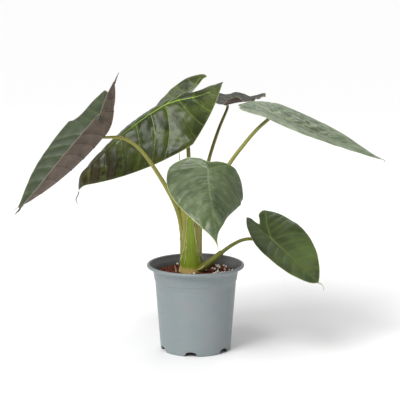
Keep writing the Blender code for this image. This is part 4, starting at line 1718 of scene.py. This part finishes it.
    def marks(self, flat: np.ndarray, rim: np.ndarray, veins: list[Vein]) -> dict[str, np.ndarray]:
        """What the skin's finish reads at each flat point.

        Args:
            flat: the points.
            rim: the outline.
            veins: of the blade.

        Returns:
            Layers by name: rib, vein, cell, lateral, edge, along and across.
        """
        rib = np.full(len(flat), 99.0)
        nearest = np.full((2, len(flat)), 1.0)
        vein_mark = np.full(len(flat), 99.0)
        order, weight = np.zeros(len(flat)), np.full(len(flat), 1e-9)
        for vein in veins:
            gap, place = distances(flat, spread(vein.line, 24)[0])
            half = vein.widths[0] + (vein.widths[1] - vein.widths[0]) * place
            if vein.order is None:
                rib = np.minimum(rib, gap / half)
            else:
                vein_mark = np.minimum(vein_mark, gap / half)
                pull = np.where(flat[:, 1] * vein.side >= 0, 1.0, 0.02) / (gap + 0.0008) ** 3
                order += pull * vein.order
                weight += pull
            farther = np.maximum(nearest[0], gap)
            nearest[0] = np.minimum(nearest[0], gap)
            nearest[1] = np.minimum(nearest[1], farther)
        edge = distances(flat, np.vstack([rim, rim[:1]]))[0]
        share = nearest[0] / np.maximum(nearest.sum(axis=0), 1e-6)
        cell = np.sin(math.pi * share) * np.minimum(1, nearest.sum(axis=0) / 0.016)
        return {"rib": rib, "vein": vein_mark, "cell": cell * step(edge, 0.0, 0.006), "lateral": order / weight,
                "edge": edge * 1000, "along": np.clip(flat[:, 0] / self.length, -1, 1.0), "across": flat[:, 1]}

    def make(self) -> bpy.types.Object:
        """Build the blade as a thin closed sheet with quilting, ribs and a waved margin.

        Returns:
            The blade.
        """
        veins = self.veins()
        flat, faces, rim = self.flat_mesh(veins)
        marks = self.marks(flat, rim, veins)
        middle = self.surface(flat)
        normals = point_normals(middle, faces)
        planar = np.stack([flat[:, 0], flat[:, 1], np.zeros(len(flat))], axis=1)
        edge = marks["edge"] / 1000
        lift = self.quilting * marks["cell"]
        lift += self.blisters * ripple(planar, 0.011, len(self.name)) * step(edge, 0.0, 0.01)
        lift += self.wave * ripple(planar, 0.017, 4.4) * step(edge, 0.014, 0.0) * step(marks["along"], 0.97, 0.75)
        middle = middle + normals * lift[:, None]
        normals = point_normals(middle, faces)
        thick = self.thickness * (0.35 + 0.65 * step(edge, 0.0, 0.003))
        ridge = self.rib_height * step(marks["rib"], 1.5, 0.0) * step(edge, 0.0, 0.012)
        ridge += self.vein_height * step(marks["vein"], 2.2, 0.0) * step(edge, 0.0, 0.006)
        groove = self.rib_groove * step(marks["rib"], 1.8, 0.0) + self.vein_groove * step(marks["vein"], 2.4, 0.0)
        upper = middle + normals * (thick / 2 - groove * step(edge, 0.0, 0.004))[:, None]
        lower = middle - normals * (thick / 2 + ridge)[:, None]
        layers = {name: np.tile(held, 2) for name, held in marks.items()}
        layers["below"] = np.repeat((0.0, 1.0), len(flat))
        blade = sheet_mesh(upper, lower, faces, layers).as_object(self.name, self.finish.made(), 80)
        return keep(blade, self.slot, self.name)


@dataclass(frozen=True)
class Outline:
    """Half outline shared by the blades, in lobe lengths or blade lengths and half widths."""

    sinus: tuple[Pair, ...] = ((0.35, 0.10), (0.80, 0.20))
    lobe: tuple[Pair, ...] = ((-1.0, 0.40), (-0.97, 0.56), (-0.72, 0.83), (-0.30, 0.97))
    fore: tuple[Pair, ...] = ((0.06, 1.0), (0.25, 0.93), (0.45, 0.76), (0.65, 0.50), (0.82, 0.23), (0.93, 0.07))
    drip: float = 0.0007


OUTLINE = Outline()


def turned_by(axis: int, angles: np.ndarray) -> np.ndarray:
    """Rotations about one axis of the blade's frame.

    Args:
        axis: 0 along, 1 left or 2 up.
        angles: in degrees.

    Returns:
        One matrix for each angle.
    """
    a = np.radians(angles)
    i, j = [(1, 2), (2, 0), (0, 1)][axis]
    found = np.zeros((len(a), 3, 3))
    found[:, axis, axis] = 1
    found[:, i, i] = found[:, j, j] = np.cos(a)
    found[:, i, j], found[:, j, i] = -np.sin(a), np.sin(a)
    return found


def bezier(start: tuple, middle: tuple, end: tuple, count: int = 25) -> np.ndarray:
    """A curve bent towards one middle point.

    Args:
        start: first point.
        middle: the point it bends towards.
        end: last point.
        count: of points.

    Returns:
        The points.
    """
    t = np.linspace(0, 1, count)[:, None]
    return (1 - t) ** 2 * np.array(start) + 2 * t * (1 - t) * np.array(middle) + t ** 2 * np.array(end)


class LeafSkin(Enum):
    """The finishes of the six blades."""

    FAR_LEFT = LeafFinish("leaf_far_left", (0.017, 0.028, 0.008), (0.032, 0.048, 0.015), (0.08, 0.10, 0.04),
                          (0.10, 0.13, 0.065), 0.45, (0.13, 0.16, 0.09), 0.18, quilt_shade=0.55,
                          below=(0.155, 0.115, 0.084), below_rib=(0.24, 0.155, 0.13), margin=(0.36, 0.33, 0.26),
                          roughness=0.5, coat=0.0)
    UPPER_LEFT = LeafFinish("leaf_upper_left", (0.018, 0.026, 0.004), (0.055, 0.072, 0.012), (0.26, 0.42, 0.05),
                            (0.15, 0.24, 0.035), 0.85, quilt_shade=0.08, tip_tint=(0.022, 0.013, 0.003), tip_amount=1.0,
                            roughness=0.31, coat=0.0, gloss=0.34, vein_fade=0.12)
    BACK = LeafFinish("leaf_back", (0.014, 0.013, 0.008), (0.030, 0.024, 0.015), below=(0.085, 0.058, 0.045),
                      below_rib=(0.15, 0.10, 0.08), below_vein=(0.016, 0.008, 0.008), roughness=0.5, coat=0.0,
                      gloss=0.2)
    # a strong pale layer that paints this blade's silvery sheen
    RIGHT = LeafFinish("leaf_right", (0.034, 0.060, 0.020), (0.09, 0.135, 0.065), (0.26, 0.32, 0.18),
                       (0.28, 0.34, 0.22), 0.5, (0.28, 0.33, 0.22), 0.78, 1.0, roughness=0.42, coat=0.1)
    FRONT = LeafFinish("leaf_front", (0.022, 0.040, 0.010), (0.068, 0.102, 0.033), (0.155, 0.205, 0.085),
                       (0.13, 0.18, 0.08), 0.5, (0.19, 0.24, 0.13), 0.40, margin=(0.50, 0.52, 0.28),
                       roughness=0.34, coat=0.05)
    LOW_RIGHT = LeafFinish("leaf_low_right", (0.020, 0.036, 0.004), (0.058, 0.092, 0.014), (0.15, 0.22, 0.06),
                           (0.10, 0.15, 0.045), 0.5, (0.15, 0.19, 0.10), 0.10, roughness=0.40, coat=0.1)


GLOSSY, DUSTY = "leaf_glossy_green", "leaf_dusty_green"

# Each blade: name, junction, heading, pitch, roll, length, lobe, sinus, widths, droop, sway, twist, lobe_rise,
# folds, curls, lobe_folds, bluntness, drip, slot and finish. Pairs are for the left and right half.
BLADES = {blade.name: blade for blade in (
    Blade("leaf_far_left", (-0.124, -0.090, 0.321), 218, -42, -6, 0.158, 0.076, 0.54, (0.066, 0.068),
          -20, -5, 2, 42, (57, 24), (-12, 24), (-5, -47), (0.42, 0.26), 0.008, DUSTY, LeafSkin.FAR_LEFT.value,
          quilting=0.0016, lobes=(1.04, 0.80), sinus_gap=(1.6, 0.3)),
    Blade("leaf_upper_left", (-0.044, 0.045, 0.348), 197, -28, -12, 0.188, 0.082, 0.54, (0.078, 0.076),
          35, -21, -3, -9, (-40, -26), (0, -4), (63, 30), (0.26, 0.39), 0.004, GLOSSY, LeafSkin.UPPER_LEFT.value,
          quilting=0.0018, blisters=0.0009, rib_width=0.0012, sinus_gap=(0.45, 1.9), hook=34),
    Blade("leaf_back", (0.046, 0.090, 0.344), 68, 4, 0, 0.150, 0.062, 0.25, (0.047, 0.048),
          12, 0, 0, 24, (19, 20), (20, 19), (22, -10), (0.1, 0.1), 0.008, GLOSSY, LeafSkin.BACK.value, wave=0.0050,
          lobes=(0.78, 0.85), sinus_gap=(1.8, 1.8)),
    Blade("leaf_right", (0.108, 0.000, 0.342), 348, -22.5, 15, 0.169, 0.043, 1.18, (0.056, 0.054),
          4, 14, 5, -14, (2, 27), (25, 25), (-5, -2), (-0.07, 0.25), 0.003, DUSTY, LeafSkin.RIGHT.value),
    Blade("leaf_front", (0.017, -0.100, 0.277), 270, -26, -7, 0.128, 0.020, 0.68, (0.066, 0.0585),
          31, 16, -5, 25, (-20, -13.5), (41, 28), (0, 5), (-0.45, -0.01), 0.006, DUSTY, LeafSkin.FRONT.value,
          quilting=0.0016, blisters=0.0010, wave=0.0034, laterals=(0.0, 0.10, 0.22, 0.35, 0.50, 0.66, 0.82)),
    Blade("leaf_low_right", (0.109, -0.020, 0.164), 325, -35, 17, 0.091, 0.045, 0.65, (0.050, 0.042),
          5, 6, 8, 12, (16, 21), (13, 11), (-20, 12), (0.39, 0.52), 0.003, GLOSSY, LeafSkin.LOW_RIGHT.value,
          quilting=0.0007, rib_width=0.0008, laterals=(0.0, 0.15, 0.32, 0.50, 0.70)),
)}

OLIVE = StalkFinish("stalk_olive", (0.50, 0.36, 0.14), (0.30, 0.28, 0.055), (0.19, 0.20, 0.035))
YELLOW = StalkFinish("stalk_yellow_olive", (0.46, 0.34, 0.13), (0.24, 0.24, 0.040), (0.30, 0.28, 0.050))
LIME = StalkFinish("stalk_lime", (0.60, 0.44, 0.15), (0.18, 0.25, 0.010), (0.21, 0.31, 0.030))
BRONZE = StalkFinish("stalk_bronze", (0.22, 0.20, 0.04), (0.15, 0.16, 0.020), (0.20, 0.21, 0.030))

STALKS = (
    Stalk("petiole_far_left", (164, 228),
          ((-0.0178, -0.0055, 0.161), (-0.0225, -0.0120, 0.194), (-0.0315, -0.0250, 0.222), (-0.049, -0.046, 0.258),
           (-0.069, -0.066, 0.292), (-0.085, -0.078, 0.310), (-0.102, -0.086, 0.319)),
          0.105, (0.0034, 0.0018), "leaf_far_left", YELLOW, 0.001),
    Stalk("petiole_upper_left", (102, 162),
          ((-0.012, 0.009, 0.158), (-0.010, 0.014, 0.215), (-0.010, 0.021, 0.276), (-0.012, 0.026, 0.296),
           (-0.017, 0.036, 0.314), (-0.026, 0.050, 0.330)), 0.080, (0.0034, 0.0022), "leaf_upper_left", OLIVE),
    Stalk("petiole_back", (44, 100),
          ((-0.003, 0.009, 0.158), (0.006, 0.020, 0.215), (0.019, 0.038, 0.269), (0.033, 0.064, 0.309)),
          0.070, (0.0030, 0.0019), "leaf_back", OLIVE),
    Stalk("petiole_right", (-13, 42),
          ((0.002, 0.002, 0.155), (0.016, 0.004, 0.209), (0.046, 0.006, 0.265), (0.070, 0.006, 0.298),
           (0.087, 0.005, 0.318)), 0.065, (0.0033, 0.0023), "leaf_right", OLIVE),
    Stalk("petiole_front", (230, 290),
          ((-0.0095, -0.0118, 0.150), (-0.0085, -0.0170, 0.190), (-0.003, -0.036, 0.228), (0.008, -0.070, 0.252)),
          0.070, (0.0030, 0.0018), "leaf_front", LIME),
    Stalk("petiole_low_right", (292, 345),
          ((0.010, -0.011, 0.121), (0.0235, -0.012, 0.132), (0.0375, -0.009, 0.143), (0.052, -0.006, 0.153),
           (0.068, -0.003, 0.160), (0.084, -0.003, 0.161)), 0.036, (0.0029, 0.0020), "leaf_low_right", BRONZE,
          collar=(0.054, 0.0030)),
)

WRAPS = (
    Wrap("petiole_front", (
        (0.1112, 196, 338, 0.0160, -0.0068, -0.0006), (0.122, 198, 352, 0.0163, -0.0066, -0.0004),
        (0.131, 203, 352, 0.0158, -0.0066, -0.0004), (0.1395, 214, 330, 0.0150, -0.0068, -0.0008),
        (0.148, 228, 314, 0.0144, -0.0070, -0.0016), (0.160, 236, 306, 0.0132, -0.0074, -0.0034),
        (0.178, 243, 302, 0.0112, -0.0076, -0.0072), (0.198, 250, 296, 0.0090, -0.0076, -0.0126))),
    Wrap("petiole_right", (
        (0.1112, 316, 398, 0.0158, -0.0060, 0.0004), (0.130, 316, 398, 0.0152, -0.0058, 0.0006),
        (0.150, 290, 392, 0.0138, -0.0046, 0.0000), (0.170, 282, 384, 0.0127, -0.0034, -0.0006),
        (0.190, 280, 372, 0.0119, -0.0020, -0.0010), (0.206, 290, 352, 0.0110, 0.0002, -0.0006))),
    Wrap("petiole_far_left", (
        (0.1112, 158, 236, 0.0156, -0.0068, 0.0000), (0.130, 158, 240, 0.0152, -0.0070, 0.0000),
        (0.150, 160, 250, 0.0140, -0.0080, -0.0010), (0.172, 164, 262, 0.0118, -0.0104, -0.0032),
        (0.192, 172, 284, 0.0100, -0.0136, -0.0062), (0.214, 184, 290, 0.0084, -0.0186, -0.0112))),
)


@dataclass(frozen=True)
class Strand:
    """A drip tip or tail that runs on from a blade, with its bends given from its start."""

    name: str
    leaf: str
    start: Pair
    bends: tuple[Point, ...]
    radii: tuple[float, float, float]
    withered: bool = False

    def make(self, tree: Tree, finish: bpy.types.Material) -> bpy.types.Object:
        """Sweep the strand from its place on the flat blade.

        Args:
            tree: the strand tree.
            finish: its material.

        Returns:
            The strand.
        """
        foot = BLADES[self.leaf].surface(np.array([self.start]))[0]
        route = [foot] + [foot + np.array(bend) for bend in self.bends]
        return keep(sweep(tree, self.name, route, self.radii, 26, 8, finish), BLADES[self.leaf].slot)


TIPS = (
    Strand("drip_tip_upper_left", "leaf_upper_left", (0.1880, 0.0),
           ((-0.0004, 0, -0.003), (-0.002, 0, -0.006), (-0.0042, 0, -0.011), (-0.0036, 0, -0.015),
            (-0.0014, 0, -0.0185)), (0.0008, 0.0007, 0.0003), True),
    Strand("drip_tip_low_right", "leaf_low_right", (0.0915, 0.0),
           ((0.003, 0, -0.0012), (0.006, 0, -0.0045), (0.0072, 0, -0.0085), (0.0066, 0, -0.0112)),
           (0.0009, 0.0006, 0.0003)),
    Strand("drip_tip_right", "leaf_right", (0.1695, 0.0),
           ((0.002, 0, -0.0010), (0.0034, 0, -0.0040), (0.0026, 0, -0.0075)), (0.0007, 0.0005, 0.0002)),
    Strand("tail_far_left", "leaf_far_left", (-0.0770, 0.0270),
           ((0.0016, 0, 0.0045), (0.0036, 0, 0.0095), (0.0062, 0, 0.0150)), (0.0013, 0.0007, 0.0002), True),
    Strand("drip_tip_far_left", "leaf_far_left", (0.1500, 0.0),
           ((-0.0030, 0, -0.0032), (-0.0052, 0, -0.0075), (-0.0088, 0, -0.0108), (-0.0100, 0, -0.0135)),
           (0.0016, 0.0011, 0.0003), True),
)


# Small pieces


@dataclass
class DrySheath:
    """The ragged stub of an old leaf base."""

    foot: Pair = (-0.0272, -0.004)
    level: float = 0.1115
    height: float = 0.0115
    width: float = 0.0062
    thickness: float = 0.0007
    rows: int = 16
    columns: int = 13

    def make(self) -> bpy.types.Object:
        """Build the stub as a curved, split plate.

        Returns:
            The stub.
        """
        across = np.linspace(-0.5, 0.5, self.columns)
        skin = []
        for row in np.linspace(0, 1, self.rows):
            tooth = 1 - 0.32 * row * (0.5 + 0.5 * np.cos(across * 23 + 1.0))
            width = self.width * (1 - 0.55 * row ** 1.4)
            bow = 0.0016 * (1 - 4 * across ** 2) * (1 - 0.5 * row)
            x = self.foot[0] - bow - 0.0022 * row ** 2 + 0.0003 * np.sin(across * 40)
            y = self.foot[1] + across * width
            skin.append(np.stack([x, y, self.level + self.height * row * tooth], axis=1))
        points = np.vstack(skin)
        faces = grid_faces(self.rows, self.columns)
        half = point_normals(points, faces) * self.thickness / 2
        finish = CrumblyFinish("dry_sheath", (0.62, 0.47, 0.28), (0.24, 0.15, 0.08), 700.0, 0.0003, 5.0)
        stub = sheet_mesh(points + half, points - half, faces, {}).as_object("dry_sheath", finish.made(), 60)
        return keep(stub, "dry_sheath", "dry_sheath")


@dataclass
class YoungLeaf:
    """The rolled young leaf, a slender spear from the middle of the stem."""

    route: tuple[Point, ...] = ((-0.0065, 0.0, 0.1104), (-0.0075, 0.0, 0.140), (-0.0135, 0.002, 0.196),
                                (-0.0205, 0.006, 0.254), (-0.0240, 0.009, 0.290))
    radii: tuple[float, float, float] = (0.0028, 0.0020, 0.0003)

    def make(self, tree: Tree) -> bpy.types.Object:
        """Sweep the spear.

        Args:
            tree: the strand tree.

        Returns:
            The spear.
        """
        finish = CrumblyFinish("young_leaf", (0.42, 0.50, 0.10), (0.28, 0.38, 0.06), 260.0, 0.0003, 14.0)
        spear = sweep(tree, "new_leaf", self.route, self.radii, 60, 20, finish.made())
        return keep(spear, "young_leaf", "new_leaf")


@dataclass
class Plant:
    """Everything that grows: stalks with their sheaths, blades, drip tips, young leaf and old stub."""

    straw: CrumblyFinish = CrumblyFinish("drip_straw", (0.55, 0.52, 0.40), (0.32, 0.30, 0.18), 500.0, 0.0002)
    withered: CrumblyFinish = CrumblyFinish("withered_tip", (0.17, 0.125, 0.09), (0.07, 0.045, 0.035), 500.0, 0.0002)
    corm_skin: CrumblyFinish = CrumblyFinish("corm_skin", (0.34, 0.24, 0.12), (0.12, 0.07, 0.035), 240.0, 0.0006, 0.4)

    def make(self) -> None:
        """Build and dress the plant."""
        tree = strand_tree()
        finishes: dict[str, bpy.types.Material] = {}
        for stalk in STALKS:
            shape = stalk.make()
            for wrap in WRAPS:
                if wrap.stalk == stalk.name:
                    shape = shape.joined(wrap.make())
            if stalk.finish.name not in finishes:
                finishes[stalk.finish.name] = stalk.finish.made()
            keep(shape.as_object(stalk.name, finishes[stalk.finish.name], 50), "petiole", stalk.name)
        for blade in BLADES.values():
            blade.make()
        straw, withered = self.straw.made(), self.withered.made()
        for tip in TIPS:
            tip.make(tree, withered if tip.withered else straw)
        YoungLeaf().make(tree)
        DrySheath().make()
        corm = frame["nodes"]["corm"]
        corm.data.materials.clear()
        corm.data.materials.append(self.corm_skin.made())


# Studio


@dataclass
class Studio:
    """Floor, soft light and camera."""

    camera: Point = (0.0063, -2.0, 0.584)
    pitch: float = math.radians(79.61)
    lens: float = 128.43
    floor_size: float = 60.0
    world: float = 0.46
    sun: float = 2.8
    sun_from: Point = (-1.3, -1.5, 2.2)
    sun_spread: float = math.radians(38)
    aim: Point = (0.0, 0.0, 0.2)

    def lamp(self, name: str, place: Point, size: float, power: float) -> None:
        """Hang a square soft box that faces the plant.

        Args:
            name: of the light.
            place: where it hangs.
            size: of one side.
            power: in watts.
        """
        light = bpy.data.lights.new(name, "AREA")
        light.size = size
        light.energy = power
        made = linked(name, light)
        made.location = place
        made.rotation_euler = (Vector(self.aim) - Vector(place)).to_track_quat("-Z", "Y").to_euler()

    def make(self) -> None:
        """Set up the studio."""
        half = self.floor_size / 2
        data = bpy.data.meshes.new("floor")
        data.from_pydata([(-half, -half, 0.0), (half, -half, 0.0), (half, half, 0.0), (-half, half, 0.0)], [],
                         [(0, 1, 2, 3)])
        data.materials.append(FloorFinish().made())
        linked("floor", data)
        scene = bpy.context.scene
        scene.world = bpy.data.worlds.new("studio_world")
        scene.world.use_nodes = True
        back = scene.world.node_tree.nodes["Background"]
        back.inputs["Color"].default_value = (1.0, 1.0, 1.0, 1.0)
        back.inputs["Strength"].default_value = self.world
        sun = bpy.data.lights.new("soft_sun", "SUN")
        sun.energy = self.sun
        sun.angle = self.sun_spread
        made = linked("soft_sun", sun)
        made.rotation_euler = Vector(self.sun_from).to_track_quat("Z", "Y").to_euler()
        self.lamp("key_soft_box", (-1.2, -1.7, 1.7), 0.6, 7.0)
        self.lamp("back_soft_box", (0.3, 1.4, 1.6), 1.0, 8.0)
        camera = bpy.data.cameras.new("camera")
        camera.lens = self.lens
        camera.sensor_width = 36.0
        camera.clip_end = 100.0
        made = linked("camera", camera)
        made.location = self.camera
        made.rotation_euler = (self.pitch, 0.0, 0.0)
        scene.camera = made
        scene.view_settings.view_transform = "Standard"
        scene.view_settings.look = "None"


def main() -> None:
    """Build every piece in order."""
    logging.basicConfig(level=logging.INFO, format="%(name)s: %(message)s")
    Studio().make()
    Pot().make()
    PottingMix().make()
    Plant().make()


if __name__ == "__main__":
    main()
